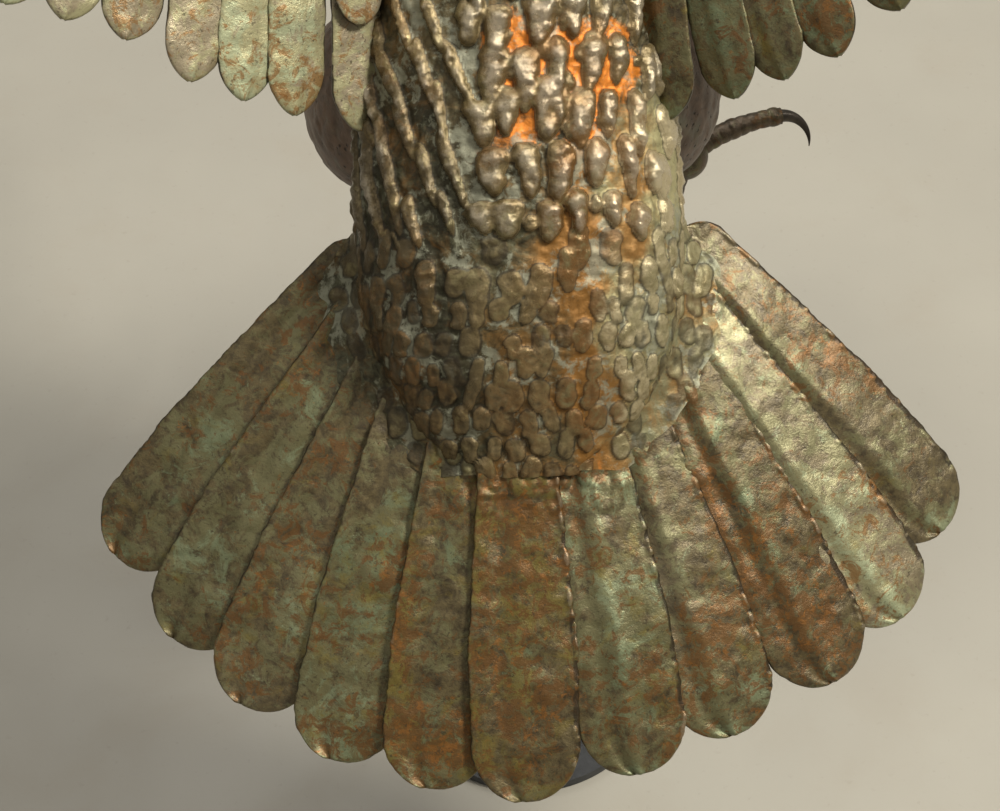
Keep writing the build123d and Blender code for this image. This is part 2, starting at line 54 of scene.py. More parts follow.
EYE_AT, EYE_R = (66.0, 26.0, 15.0), 8.0
TAIL_TIPS = [(-242.5, -51.4, -42.5), (-208.3, -100.6, -33.5), (-168.9, -138.7, -26), (-117.3, -170.4, -15.5),
             (-62.1, -187.6, -8), (-7.8, -196.4, -0.6), (58.2, -183.6, 8), (114.5, -164.2, 17.5),
             (175, -137, 25.5), (217.2, -102.8, 34), (244.8, -53, 41)]
TAIL_LENGTH, TAIL_STEP = 236.0, 2.4
TAIL_CROWN, TAIL_ACROSS_R, TAIL_ALONG_R = (0.0, 60.0), 620.0, 1400.0
WING_CROWN, WING_AT, WING_DIHEDRAL = (380.0, 380.0), np.array([392.0, 380.0, 214.0]), 18.7
WING_SPAN_R, WING_CHORD_R, WING_STEP = 1400.0, 620.0, 2.1
SHOULDER_U, ROOT_PITCH = 36.0, 22.0
ARM_LINE = [(40, 391), (92, 402), (146, 416), (198, 434), (250, 453), (298, 469), (345, 481), (400, 490),
            (455, 495), (505, 497)]
SHOULDER, SHOULDER_HALF = np.array([44.0, 366.0, 18.0]), (32, 22)
ARM_HALF = [(26, 15), (24, 14.5), (22, 13.5), (20, 13), (18.5, 12), (17, 11.5), (16, 11), (13, 9.5),
            (10.5, 8), (8, 6.5)]
SECONDARIES = 14
SECONDARY_TIPS = [(29, 183), (68, 190), (97, 197), (127, 206), (162, 226), (194, 235), (224, 242), (253, 249),
                  (283, 256), (312, 263), (342, 270), (371, 277), (401, 284), (430, 291)]
RIGHT_ANGLES = [0, 8, 13, 17, 20, 22.5, 24.5, 26, 27.5, 28.5, 29.5, 30, 30.5, 31]
LEFT_ANGLES = [-3, 0, 3, 7, 12, 16, 19.5, 22, 24.5, 26.5, 28, 29, 30, 31]
PRIMARY_U = [330, 351, 374, 398, 422, 445, 467, 487, 505, 505]
PRIMARY_ANGLES = [31.5, 34.5, 39, 44.5, 51, 58, 65.5, 73.5, 82, 91]
PRIMARY_LENGTHS = [212, 226, 243, 261, 278, 292, 303, 310, 307, 291]
HIP, ANKLE = np.array([66.0, 218.0, -28.0]), np.array([108.0, 214.0, -205.0])
FOOT = {1: np.array([118.0, 196.0, -288.0]), -1: np.array([100.0, 206.0, -292.0])}
THIGH_STATIONS = np.array([(0, 30, 48), (0.2, 42, 57), (0.42, 42, 54), (0.7, 27, 34), (1, 12, 13.5)], float)
SHANK_R, FOOT_R = [11.0, 8.0, 8.5, 11.0], 16.5
# Each toe's first direction, the direction that it curls towards, its length and its claw's.
TOES = {
    1: [((0.84, 0.50, -0.10), (0.30, -0.93, -0.2), 62, 34),
        ((0.12, 0.95, -0.30), (0.1, -0.3, -0.95), 72, 36),
        ((-0.80, 0.50, -0.30), (0.2, -0.3, -0.93), 58, 34),
        ((-0.30, -0.92, -0.25), (0.0, 0.25, -0.97), 44, 40)],
    -1: [((0.34, 0.86, -0.38), (0.2, -0.35, -0.92), 60, 34),
         ((-0.28, 0.92, -0.28), (0.0, -0.3, -0.95), 72, 36),
         ((-0.88, 0.35, -0.30), (-0.1, -0.2, -0.97), 58, 34),
         ((0.10, -0.94, -0.30), (0.0, 0.25, -0.97), 44, 40)]}
TOE_R0, TOE_R1, CLAW_R, TOE_BEND, CLAW_BEND = 7.2, 5.6, 4.5, 24.0, 105.0


# ---------------------------------------------------------------- frames
PITCH = radians(BODY_PITCH)
BIRD_AXES = np.array([(1, 0, 0), (0, cos(PITCH), sin(PITCH)), (0, -sin(PITCH), cos(PITCH))], float)


def to_vane(points):
    """Bird frame, mm, to the vane's frame, mm."""
    return np.asarray(points, float) @ BIRD_AXES + TAIL_ROOT


def wing_to_bird(points, side):
    """One wing's own frame, its crown at the origin, to the bird frame."""
    g = radians(WING_DIHEDRAL)
    u, t, h = np.moveaxis(np.asarray(points, float), -1, 0)
    out = np.stack([u * cos(g) - h * sin(g), t, u * sin(g) + h * cos(g)], -1) + WING_AT
    out[..., 0] *= side
    return out


def sheet_height(x, y, across_r, along_r, layer=0.0):
    """Height of a sheet curved both ways below its crown. layer is its offset from the first sheet."""
    around = across_r - along_r + np.sqrt((along_r + layer) ** 2 - y ** 2)
    return np.sqrt(around ** 2 - x ** 2) - across_r


# ---------------------------------------------------------------- noise and curves
_tables = {}


def lattice(seed):
    """The random values that one seed's noise is made from."""
    if seed not in _tables:
        _tables[seed] = np.random.default_rng(seed).random((64, 64))
    return _tables[seed]


def noise(x, y, size, seed):
    """Smooth value noise from -1 to 1, size mm to a cell."""
    table = lattice(seed)
    x, y = np.asarray(x, float) / size + 17.3, np.asarray(y, float) / size + 41.7
    i, j = np.floor(x).astype(int), np.floor(y).astype(int)
    f, g = x - i, y - j
    f, g = f * f * (3 - 2 * f), g * g * (3 - 2 * g)
    i0, i1, j0, j1 = i % 64, (i + 1) % 64, j % 64, (j + 1) % 64
    top = table[i0, j0] * (1 - f) + table[i1, j0] * f
    low = table[i0, j1] * (1 - f) + table[i1, j1] * f
    return (top * (1 - g) + low * g) * 2 - 1


def creased(x, y, size, seed):
    """Noise with sharp creases, from -1 to 1."""
    return 1 - 2 * np.abs(noise(x, y, size, seed))


def fbm(x, y, size, seed, octaves=3):
    """Noise of several sizes, each half as large and half as strong as the last."""
    total, amount = 0.0, 1.0
    for k in range(octaves):
        total = total + amount * noise(x, y, size / 2 ** k, seed + k * 7)
        amount *= 0.5
    return total


def smooth(a, b, x):
    """0 up to a, 1 from b, with a smooth rise between."""
    t = np.clip((x - a) / (b - a), 0, 1)
    return t * t * (3 - 2 * t)


def spline(xs, ys, x):
    """A smooth curve through the rows of ys at xs."""
    xs, ys, x = np.asarray(xs, float), np.asarray(ys, float), np.asarray(x, float)
    slopes = np.gradient(ys, xs, axis=0)
    i = np.clip(np.searchsorted(xs, x, side="right") - 1, 0, len(xs) - 2)
    h = (xs[i + 1] - xs[i])
    f = ((x - xs[i]) / h)
    if ys.ndim > 1:
        h, f = h[:, None], f[:, None]
    a, b = 2 * f ** 3 - 3 * f ** 2 + 1, f ** 3 - 2 * f ** 2 + f
    return a * ys[i] + b * h * slopes[i] + (1 - a) * ys[i + 1] + (f ** 3 - f ** 2) * h * slopes[i + 1]


# ---------------------------------------------------------------- meshes
def make_piece(name, verts, faces, mix, relief, material, replaces=()):
    """A piece of the vane: verts in mm, faces of four, and a mix and a relief for each vertex."""
    mesh = bpy.data.meshes.new(name)
    verts, faces = np.asarray(verts, np.float32).reshape(-1, 3) * MM, np.asarray(faces, np.int32)
    mesh.vertices.add(len(verts))
    mesh.vertices.foreach_set("co", verts.ravel())
    mesh.loops.add(faces.size)
    mesh.loops.foreach_set("vertex_index", faces.ravel())
    mesh.polygons.add(len(faces))
    mesh.polygons.foreach_set("loop_start", np.arange(0, faces.size, 4, dtype=np.int32))
    mesh.polygons.foreach_set("loop_total", np.full(len(faces), 4, np.int32))
    mesh.update(calc_edges=True)
    mesh.validate()
    mesh.polygons.foreach_set("use_smooth", np.ones(len(mesh.polygons), bool))
    colours = mesh.attributes.new("mix", "FLOAT_COLOR", "POINT")
    colours.data.foreach_set("color", np.asarray(mix, np.float32).ravel())
    levels = mesh.attributes.new("relief", "FLOAT", "POINT")
    levels.data.foreach_set("value", np.asarray(relief, np.float32).ravel())
    mesh.materials.append(material)
    piece = bpy.data.objects.new(name, mesh)
    bpy.context.scene.collection.objects.link(piece)
    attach(piece, "vane")
    if replaces:
        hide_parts(*replaces)


def grid_faces(rows, cols, wrap=False, start=0, flip=False):
    """Quads of a grid of rows by cols; wrap joins the last column to the first."""
    r = np.arange(rows - 1)[:, None]
    c = np.arange(cols if wrap else cols - 1)[None, :]
    d = (c + 1) % cols
    quads = np.stack([r * cols + c, r * cols + d, (r + 1) * cols + d, (r + 1) * cols + c], -1).reshape(-1, 4)
    if flip:
        quads = quads[:, ::-1]
    return quads + start


def normals_of(grid, wrap=False):
    """Unit normals of a grid of points, rows by cols."""
    du = np.gradient(grid, axis=0)
    if wrap:
        dv = np.roll(grid, -1, 1) - np.roll(grid, 1, 1)
    else:
        dv = np.gradient(grid, axis=1)
    n = np.cross(dv, du)
    return n / np.maximum(np.linalg.norm(n, axis=-1, keepdims=True), 1e-9)


# ---------------------------------------------------------------- feathers
class Mesh:
    """Gathers several closed shapes into one piece. inside_out is for shapes made mirrored."""

    def __init__(self, inside_out=False):
        self.verts, self.faces, self.mix, self.relief, self.count = [], [], [], [], 0
        self.turn = -1 if inside_out else 1

    def add(self, verts, faces, mix, relief):
        self.verts.append(verts)
        self.faces.append(faces + self.count)
        self.mix.append(mix)
        self.relief.append(relief)
        self.count += len(verts)

    def piece(self, name, material, slot, node_name):
        make_piece(name, np.concatenate(self.verts), np.concatenate(self.faces)[:, ::self.turn],
                   np.concatenate(self.mix), np.concatenate(self.relief), material, [node_name])


def half_width(y, length, root_w, max_w, belly, tip_w, tip_at, pointed):
    """A feather's half width at y: root_w, max_w at belly, tip_w at tip_at, then a round or pointed end."""
    y1, y2 = belly * length, tip_at * length
    inner = root_w + (max_w - root_w) * y / max(y1, 1)
    outer = max_w + (tip_w - max_w) * (y - y1) / max(y2 - y1, 1)
    f = np.clip((y - y2) / (length - y2), 0, 1)
    tip = np.clip(1 - f ** 2, 0, 1) ** 0.72 if pointed else np.sqrt(np.clip(1 - f ** 2, 0, 1))
    return np.where(y < y2, np.where(y < y1, inner, outer), tip_w * tip)


def blade(out, root, angle, length, shape, surface, seed, spacing=1.6, camber=2.0, ridge=1.0, lift=(0.0, 0.0),
          rough=1.0, mix=(0.3, 0.1, 0.3, 0.5), weld=0.0, extra=None, root_round=0.0):
    """One feather. surface maps plan x, y and a height to the vane's frame. lift raises its left and right
    edges, weld is the size of the beads on one edge, and extra adds a height of its own."""
    rows = max(int(length / spacing), 12)
    cols = max(int(2 * shape[1] / spacing), 8) | 1
    y = np.linspace(0, length * (0.9985 if shape[-1] else 0.996), rows)
    s = np.linspace(-1, 1, cols)
    s = np.sign(s) * (1 - (1 - np.abs(s)) ** 1.25)
    Y, S = np.meshgrid(y, s, indexing="ij")
    w = half_width(Y, length, *shape)
    if root_round:
        w = w * np.sqrt(np.clip(1 - (1 - np.clip(Y / root_round, 0, 1)) ** 2, 0.03, 1))
    off = np.abs(S)
    ragged = 1 + rough * 0.020 * noise(Y, S * 0 + seed, 6.0, seed) * off ** 3
    ragged += rough * 0.014 * noise(Y, np.sign(S) * 50, 2.5, seed + 3) * off ** 6
    X = S * w * ragged
    a = radians(angle)
    along, across = (sin(a), -cos(a)), (cos(a), sin(a))
    px = root[0] + along[0] * Y + across[0] * X
    py = root[1] + along[1] * Y + across[1] * X
    fade = smooth(0, 0.16 * length, Y)
    h = -camber * S ** 2 * fade
    shaft = 0.06 * noise(Y, Y * 0, 45, seed + 2) - 0.06
    spine = 1.9 * np.exp(-((S - shaft) / 0.20) ** 2) - 1.3 * np.exp(-((S - shaft + 0.36) / 0.14) ** 2)
    h += ridge * fade * spine
    h += lift[0] * smooth(0.30, 1, -S) * fade + lift[1] * smooth(0.30, 1, S) * fade
    dents = fbm(px + seed * 13, py, 17.0, seed + 11, 3)
    pebble = noise(px, py, 4.2, seed + 5)
    h += rough * 0.80 * dents + rough * 0.17 * pebble
    edge = np.clip(smooth(0.90, 0.97, off) + 0.8 * smooth(length * 0.975, length * 0.99, Y), 0, 1)
    seam = weld * smooth(0.84, 0.93, S) * (1 - smooth(0.90, 0.96, Y / length))
    beads = np.clip(noise(Y, X * 0.6, 3.0, seed + 21) + 0.9 * noise(Y, X, 11.0, seed + 23), 0, 1)
    h += seam * 1.2 * beads + 0.30 * rough * edge * beads - 0.7 * smooth(0.965, 1.0, off)
    if extra is not None:
        h += extra(px, py, Y)
    top = surface(px, py, h + SHEET / 2)
    low = surface(px, py, h - SHEET / 2)
    n = rows * cols
    faces = [grid_faces(rows, cols, flip=True), grid_faces(rows, cols, start=n)]
    ring = np.concatenate([np.arange(cols), np.arange(2, rows + 1) * cols - 1,
                           (rows - 1) * cols + np.arange(cols - 2, -1, -1),
                           np.arange(rows - 2, 0, -1) * cols])
    after = np.roll(ring, -1)
    faces.append(np.stack([ring, after, after + n, ring + n], -1))
    mask = np.stack([
        mix[0] + 0.20 * fbm(px, py, 55, seed + 31, 2) + 0.22 * ridge * np.exp(-((S - shaft) / 0.22) ** 2)
        + 0.18 * smooth(0.93, 1.0, Y / length),
        mix[1] + 0.22 * noise(S * 40, Y * 0.2, 16, seed + 37),
        mix[2] + 0.18 * fbm(px, py, 34, seed + 41, 2) + 0.12 * seam,
        mix[3] + 0.12 * fbm(px, py, 80, seed + 43, 2)], -1).reshape(-1, 4)
    relief = (0.45 + 0.16 * dents + 0.10 * pebble + 0.5 * edge * beads + 0.6 * seam * beads
              - 0.35 * seam * (1 - beads) - 0.45 * smooth(0.955, 1.0, off) * (1 - beads)).reshape(-1)
    out.add(np.concatenate([top.reshape(-1, 3), low.reshape(-1, 3)]), np.concatenate(faces),
            np.concatenate([mask, mask]), np.concatenate([relief, relief * 0.7]))


# ---------------------------------------------------------------- drips of braze on a skin
FLAT_TAPER = 0.05  # a drip with less taper than this has a dished crown
DRIP_SEEDS = 5000


def raise_drip(relief, a, t, at_a, at_t, length, width, height, lean, taper, seed):
    """Raises one drip on a skin. a is across it and t along it, in mm; the narrow end is at low t."""
    reach = max(length, width) * 0.75
    pick = (np.abs(a - at_a) < reach) & (np.abs(t - at_t) < reach)
    if not pick.any():
        return
    da, dt = a[pick] - at_a, t[pick] - at_t
    x, y = da * cos(lean) - dt * sin(lean), da * sin(lean) + dt * cos(lean)
    f = y / (length / 2)
    x = x + 0.10 * width * noise(y, y * 0 + seed, length * 0.32, seed % 61)
    uneven = 1 + 0.16 * noise(y, y * 0 + 9, length * 0.28, seed % 53)
    w = width / 2 * (1 + taper * np.clip(f, -1, 1)) * uneven
    r = np.sqrt((x / np.maximum(w, 0.5)) ** 2 + np.clip(np.abs(f), 0, 3) ** 3.2)
    wave = 1 + 0.22 * noise(x + seed, y, width * 0.45, seed % 47)
    h = height * np.clip(1 - r ** 2.3, 0, 1) ** 0.5 * wave
    if taper < FLAT_TAPER:
        h = h * (1 - 0.28 * np.exp(-(r / 0.5) ** 2))
    old = relief[pick]
    relief[pick] = np.where(h > old, h + 0.25 * np.minimum(old, h), old + 0.12 * h)


def drip_field(a, t, drips):
    """The height of every drip together, wrinkled and pocked where there is braze."""
    relief = np.zeros(a.shape)
    for row in drips:
        raise_drip(relief, a, t, *row)
    wrinkle = creased(a, t, 7.0, 23) + 0.7 * creased(a, t, 3.6, 29)
    wrinkle = wrinkle + 0.5 * noise(a, t, 2.6, 37)
    return np.maximum(relief + 0.55 * wrinkle * smooth(0.3, 2.2, relief), 0)


def drip(rng, a, t, length, width, height, lean, taper):
    """One drip's place and shape, with a seed that makes it uneven in its own way."""
    return a, t, length, width, height, lean, taper, int(rng.integers(1, DRIP_SEEDS))


def scale_rows(rng, along, across, stagger, loose, length, width, height, lean, taper):
    """Staggered rows of scales. loose is their scatter; length and height are a size and its range."""
    drips = []
    for k, t in enumerate(along):
        for a in across:
            drips.append(drip(rng, a + stagger * (k % 2) + rng.normal(0, loose[0]),
                              t + rng.normal(0, loose[1]), length[0] * rng.uniform(*length[1:]), width,
                              height[0] * rng.uniform(*height[1:]), rng.normal(0, lean), taper))
    return drips


# ---------------------------------------------------------------- materials
class Shade:
    """A short way of writing a procedural material's node tree."""

    def __init__(self, name):
        self.material = bpy.data.materials.new(name)
        self.material.use_nodes = True
        self.tree = self.material.node_tree
        self.tree.nodes.clear()
        self.shader = self.node("ShaderNodeBsdfPrincipled")
        self.feed(self.node("ShaderNodeOutputMaterial").inputs[0], self.shader.outputs[0])
        self.place = self.node("ShaderNodeTexCoord").outputs["Object"]

    def feed(self, socket, value):
        """Sets a number, a place or a colour on a socket, or links a node's output to it."""
        if isinstance(value, (int, float)):
            socket.default_value = value
        elif isinstance(value, tuple):
            socket.default_value = value if socket.type == "VECTOR" else (*value, 1.0)
        else:
            self.tree.links.new(value, socket)

    def node(self, kind, **inputs):
        made = self.tree.nodes.new(kind)
        for name, value in inputs.items():
            self.feed(made.inputs[name], value)
        return made

    def carried(self):
        """What the mesh carries at each point: the four parts of its mix, and its relief."""
        mix, relief = self.node("ShaderNodeAttribute"), self.node("ShaderNodeAttribute")
        mix.attribute_name, relief.attribute_name = "mix", "relief"
        parts = self.node("ShaderNodeSeparateColor", Color=mix.outputs["Color"]).outputs
        return parts[0], parts[1], parts[2], mix.outputs["Alpha"], relief.outputs["Fac"]

    def noise(self, scale, detail, rough, twist=0.0, offset=(0, 0, 0)):
        mapping = self.node("ShaderNodeMapping", Vector=self.place, Location=offset)
        made = self.node("ShaderNodeTexNoise", Vector=mapping.outputs[0], Scale=scale, Detail=detail,
                         Roughness=rough, Distortion=twist)
        return made.outputs["Fac"]

    def cells(self, scale):
        return self.node("ShaderNodeTexVoronoi", Vector=self.place, Scale=scale).outputs["Distance"]

    def math(self, kind, a, b):
        made = self.node("ShaderNodeMath")
        made.operation = kind
        self.feed(made.inputs[0], a)
        self.feed(made.inputs[1], b)
        return made.outputs[0]

    def plus(self, a, b):
        return self.math("ADD", a, b)

    def minus(self, a, b):
        return self.math("SUBTRACT", a, b)

    def times(self, a, b):
        return self.math("MULTIPLY", a, b)

    def about(self, value, middle, gain):
        """How far a value is from its middle, times a gain."""
        return self.times(self.minus(value, middle), gain)

    def ramp(self, value, low, high):
        """0 at low and 1 at high, with a smooth step between."""
        made = self.node("ShaderNodeMapRange", Value=value)
        made.interpolation_type = "SMOOTHSTEP"
        made.inputs["From Min"].default_value = low
        made.inputs["From Max"].default_value = high
        return made.outputs[0]

    def blend(self, amount, a, b):
        made = self.node("ShaderNodeMix")
        made.data_type = "RGBA"
        sockets = [socket for socket in made.inputs if socket.enabled]
        for socket, value in zip(sockets, (amount, a, b)):
            self.feed(socket, value)
        return [socket for socket in made.outputs if socket.enabled][0]

    def stain(self, colour, over, field, low, high, share=1.0):
        """Lays one colour over another where a field goes from low to high, by no more than its share."""
        return self.blend(self.times(self.ramp(field, low, high), share), colour, over)

    def bump(self, height, strength, distance):
        made = self.node("ShaderNodeBump", Strength=strength, Distance=distance, Height=height)
        self.feed(self.shader.inputs["Normal"], made.outputs[0])

    def finish(self, colour, roughness, metallic):
        self.feed(self.shader.inputs["Base Color"], colour)
        self.feed(self.shader.inputs["Roughness"], roughness)
        self.feed(self.shader.inputs["Metallic"], metallic)
        return self.material


def dim(colour, share):
    """A colour made darker."""
    return tuple(share * part for part in colour)


def patina(name, copper=(0.112, 0.085, 0.038), gloss=0.36):
    """Sheet copper gone brown, with verdigris, olive and rust in the amounts its mesh carries."""
    m = Shade(name)
    verdigris, olive, rust, pale, relief = m.carried()
    dark = (0.040, 0.029, 0.015)
    low = m.noise(17, 4, 0.55, 0.3, (6, 2, 4))
    fine = m.noise(150, 6, 0.70, 0.4, (3, 1, 7))
    speck = m.noise(620, 3, 0.7, 0.0, (9, 4, 2))

    def patches(mask, scale, detail, rough, offset, twist=0.6):
        """A noise that is higher where its mask is."""
        field = m.plus(m.noise(scale, detail, rough, twist, offset), m.about(mask, 0.3, 0.32))
        return m.plus(field, m.about(low, 0.5, 0.25))

    colour = m.blend(m.ramp(fine, 0.30, 0.66), dark, copper)
    colour = m.stain(colour, (0.33, 0.275, 0.185), pale, 0.35, 1.0, 0.85)
    haze = m.blend(m.ramp(pale, 0.3, 1.0), (0.125, 0.117, 0.054), (0.38, 0.36, 0.195))
    colour = m.stain(colour, haze, patches(verdigris, 75, 9, 0.74, (5, 5, 1)), 0.455, 0.58, 0.75)
    teal = m.blend(m.ramp(pale, 0.2, 0.9), (0.126, 0.150, 0.080), (0.37, 0.40, 0.25))
    colour = m.stain(colour, teal, patches(verdigris, 52, 9, 0.76, (2, 7, 3)), 0.56, 0.655, 0.78)
    colour = m.stain(colour, (0.165, 0.123, 0.024), patches(olive, 60, 8, 0.70, (1, 8, 3)), 0.50, 0.74, 0.75)
    brown = m.blend(m.ramp(pale, 0.3, 1.0), (0.112, 0.052, 0.014), (0.25, 0.135, 0.045))
    colour = m.stain(colour, brown, patches(rust, 95, 9, 0.74, (2, 6, 9), 0.9), 0.53, 0.60, 0.85)
    spots = patches(rust, 210, 6, 0.72, (7, 6, 2), 0.5)
    colour = m.stain(colour, (0.19, 0.078, 0.015), spots, 0.60, 0.70, 0.80)
    colour = m.stain(colour, dark, m.noise(380, 4, 0.75, 0.3, (4, 2, 8)), 0.56, 0.68, 0.75)
    colour = m.stain(colour, (0.022, 0.016, 0.008), relief, 0.30, 0.05, 0.85)
    # Brighter on raised rims and beads: worn metal and painted highlight.
    worn_and_highlit = m.plus(relief, m.about(speck, 0.5, 0.8))
    colour = m.stain(colour, (0.32, 0.27, 0.19), worn_and_highlit, 0.82, 1.15, 0.30)
    m.bump(m.plus(m.times(fine, 0.9), m.times(speck, 0.5)), 0.42, 0.0013)
    return m.finish(colour, m.plus(gloss - 0.12, m.times(fine, 0.34)), 0.50)


def braze(name):
    """Bronze drips over stained ground, with green, orange, rust and paleness as its mesh carries them; it
    paints shade and highlights too.
    """
    m = Shade(name)
    green, orange, rust, pale, relief = m.carried()
    tint = (0.206, 0.153, 0.073)
    fine = m.noise(190, 6, 0.70, 0.5)
    patch = m.noise(38, 6, 0.66, 0.5, (2, 2, 5))
    blot = m.noise(85, 7, 0.72, 0.7, (6, 1, 5))
    speck = m.noise(680, 3, 0.7, 0.0, (7, 4, 1))
    drop = m.blend(m.ramp(fine, 0.28, 0.68), dim(tint, 0.42), tint)
    # Drips darker where the paleness is low, on the left flank: painted shade. Paler where it is high, on the
    # right flank: pale patina and painted light.
    drop = m.stain(drop, dim(tint, 0.40), pale, 0.30, 0.05)
    drop = m.stain(drop, (0.46, 0.39, 0.24), pale, 0.45, 1.0, 0.75)
    drop = m.stain(drop, (0.165, 0.075, 0.020), m.plus(blot, m.times(rust, 0.45)), 0.56, 0.84, 0.80)
    drop = m.stain(drop, (0.200, 0.200, 0.102), m.plus(blot, m.times(green, 0.40)), 0.60, 0.82, 0.55)
    ground = m.blend(m.ramp(blot, 0.35, 0.62), (0.030, 0.023, 0.010), (0.112, 0.082, 0.036))
    # Ground darker where the paleness is low, on the left flank: painted shade. Paler where it is high, on
    # the right flank: pale patina and painted light.
    ground = m.stain(ground, (0.030, 0.026, 0.013), pale, 0.30, 0.05)
    ground = m.stain(ground, (0.38, 0.345, 0.18), pale, 0.40, 0.95, 0.80)
    algae = m.plus(m.times(fine, 0.9), m.times(green, 0.5))
    ground = m.stain(ground, (0.110, 0.108, 0.060), algae, 0.52, 0.82, 0.70)
    rusty = m.plus(m.times(blot, 0.7), m.times(rust, 0.8))
    ground = m.stain(ground, (0.250, 0.112, 0.021), rusty, 0.54, 0.90, 0.85)
    ground = m.stain(ground, (0.560, 0.180, 0.020), m.plus(m.times(blot, 0.7), orange), 0.66, 0.84)
    ground = m.stain(ground, (0.26, 0.26, 0.19), m.plus(patch, m.times(fine, 0.4)), 0.70, 0.80, 0.75)
    edge = m.plus(relief, m.about(fine, 0.5, 0.20))
    colour = m.blend(m.ramp(edge, 0.10, 0.32), ground, drop)
    # A dark line round the foot of each drip, where it meets the ground: painted shade in the crevice.
    seam = m.times(m.ramp(edge, 0.03, 0.13), m.minus(1.0, m.ramp(edge, 0.16, 0.34)))
    colour = m.blend(m.times(seam, 0.62), colour, (0.020, 0.013, 0.007))
    # Paler on the drips' crowns, broken by specks: painted highlight.
    crown = m.plus(relief, m.about(speck, 0.5, 0.9))
    colour = m.stain(colour, (0.40, 0.35, 0.27), crown, 0.90, 1.5, 0.45)
    colour = m.stain(colour, (0.03, 0.021, 0.010), m.noise(420, 4, 0.75, 0.3, (4, 2, 8)), 0.58, 0.70, 0.50)
    rough = m.plus(m.minus(0.53, m.times(m.ramp(edge, 0.15, 0.7), 0.30)), m.about(fine, 0.5, 0.3))
    m.bump(m.plus(fine, m.times(speck, 0.5)), 0.45, 0.0014)
    return m.finish(colour, rough, 0.52)


def pitted(name):
    """Brown copper closely pitted with small dark holes."""
    m = Shade(name)
    tint = (0.150, 0.094, 0.062)
    fine = m.noise(120, 5, 0.65, 0.4)
    colour = m.blend(m.ramp(fine, 0.30, 0.72), dim(tint, 0.45), tint)
    colour = m.stain(colour, (0.150, 0.165, 0.110), m.noise(40, 5, 0.6, 0.0, (2, 7, 1)), 0.52, 0.70, 0.5)
    hole = m.times(m.ramp(m.cells(260), 0.34, 0.16), m.ramp(m.noise(180, 2, 0.5, 0.0, (8, 1, 3)), 0.50, 0.62))
    colour = m.blend(m.times(hole, 0.85), colour, (0.012, 0.009, 0.006))
    m.bump(m.minus(m.times(fine, 0.5), hole), 0.8, 0.0015)
    return m.finish(colour, m.plus(0.36, m.times(fine, 0.2)), 0.35)


def plain_metal(name, tint, rough, metal, wear=0.25, scale=70.0):
    """Worn painted or bare metal for the pieces that the CAD shapes exactly."""
    m = Shade(name)
    patch = m.noise(scale, 6, 0.62, 0.4)
    fine = m.noise(scale * 9, 4, 0.7, 0.0, (3, 3, 3))
    both = m.plus(patch, m.times(fine, 0.5))
    colour = m.blend(m.ramp(patch, 0.35, 0.68), dim(tint, 0.6), tint)
    colour = m.stain(colour, tuple(min(1.0, 1.9 * part + 0.04) for part in tint), both, 0.86, 0.98, wear)
    m.bump(both, 0.25, 0.0008)
    return m.finish(colour, m.plus(rough - 0.08, m.times(fine, 0.2)), metal)


def concrete():
    """The pale workshop floor."""
    m = Shade("floor_concrete")
    big, mid = m.noise(1.1, 5, 0.6), m.noise(9, 6, 0.62, 0.3, (4, 2, 0))
    fine = m.noise(160, 3, 0.6, 0.0, (1, 5, 0))
    colour = m.blend(m.ramp(big, 0.3, 0.7), (0.280, 0.262, 0.224), (0.330, 0.310, 0.264))
    colour = m.stain(colour, (0.275, 0.240, 0.190), mid, 0.48, 0.75, 0.25)
    colour = m.stain(colour, (0.16, 0.14, 0.12), fine, 0.62, 0.78, 0.18)
    m.bump(m.plus(mid, m.times(fine, 0.3)), 0.15, 0.002)
    return m.finish(colour, m.plus(0.42, m.times(mid, 0.25)), 0.0)


# ---------------------------------------------------------------- tail
def tail_surface(layer):
    """The curved sheet that one tail feather lies in, as a function of its plan x, y and a height."""
    def place(x, y, h):
        dx, dy = x - TAIL_CROWN[0], y - TAIL_CROWN[1]
        z = sheet_height(dx, dy, TAIL_ACROSS_R, TAIL_ALONG_R, layer)
        return to_vane(np.stack([x, y, z + h], -1))
    return place


TAIL_SHAPE = (19.0, 31.0, 0.62, 31.0, 0.86, False)
# Each tail feather's verdigris, olive, rust and paleness, from the eagle's left to its right.
TAIL_MIX = [(0.22, 0.16, 0.36, 0.36), (0.32, 0.20, 0.26, 0.34), (0.30, 0.24, 0.30, 0.34),
            (0.34, 0.24, 0.28, 0.34), (0.26, 0.42, 0.34, 0.30), (0.12, 0.52, 0.40, 0.20),
            (0.38, 0.22, 0.32, 0.34), (0.32, 0.16, 0.34, 0.38), (0.22, 0.08, 0.44, 0.32),
            (0.42, 0.12, 0.26, 0.60), (0.22, 0.06, 0.26, 0.46)]


def tail_drips():
    """Scale-like bumps that carry on from the rump over the roots of the tail feathers."""
    rng, drips = np.random.default_rng(61), []
    for row, t in enumerate(np.arange(-22, 150, 15.0)):
        half = np.interp(t, BODY_STATIONS[:, 0], BODY_STATIONS[:, 3])
        for k in range(-14, 15):
            x = k * 13.0 + 6.5 * (row % 2) + rng.normal(0, 1.6)
            out = abs(x) - half
            if out > 26 - 10 * (x < 0) or rng.random() < 0.12:
                continue
            drips.append(drip(rng, x, t + rng.normal(0, 1.6), 18 * rng.uniform(0.75, 1.15),
                              12 * rng.uniform(0.8, 1.1),
                              1.8 * rng.uniform(0.5, 1.1) * (1 - 0.5 * smooth(8, 26, out)),
                              rng.normal(0, 0.15), 0.0))
    return drips


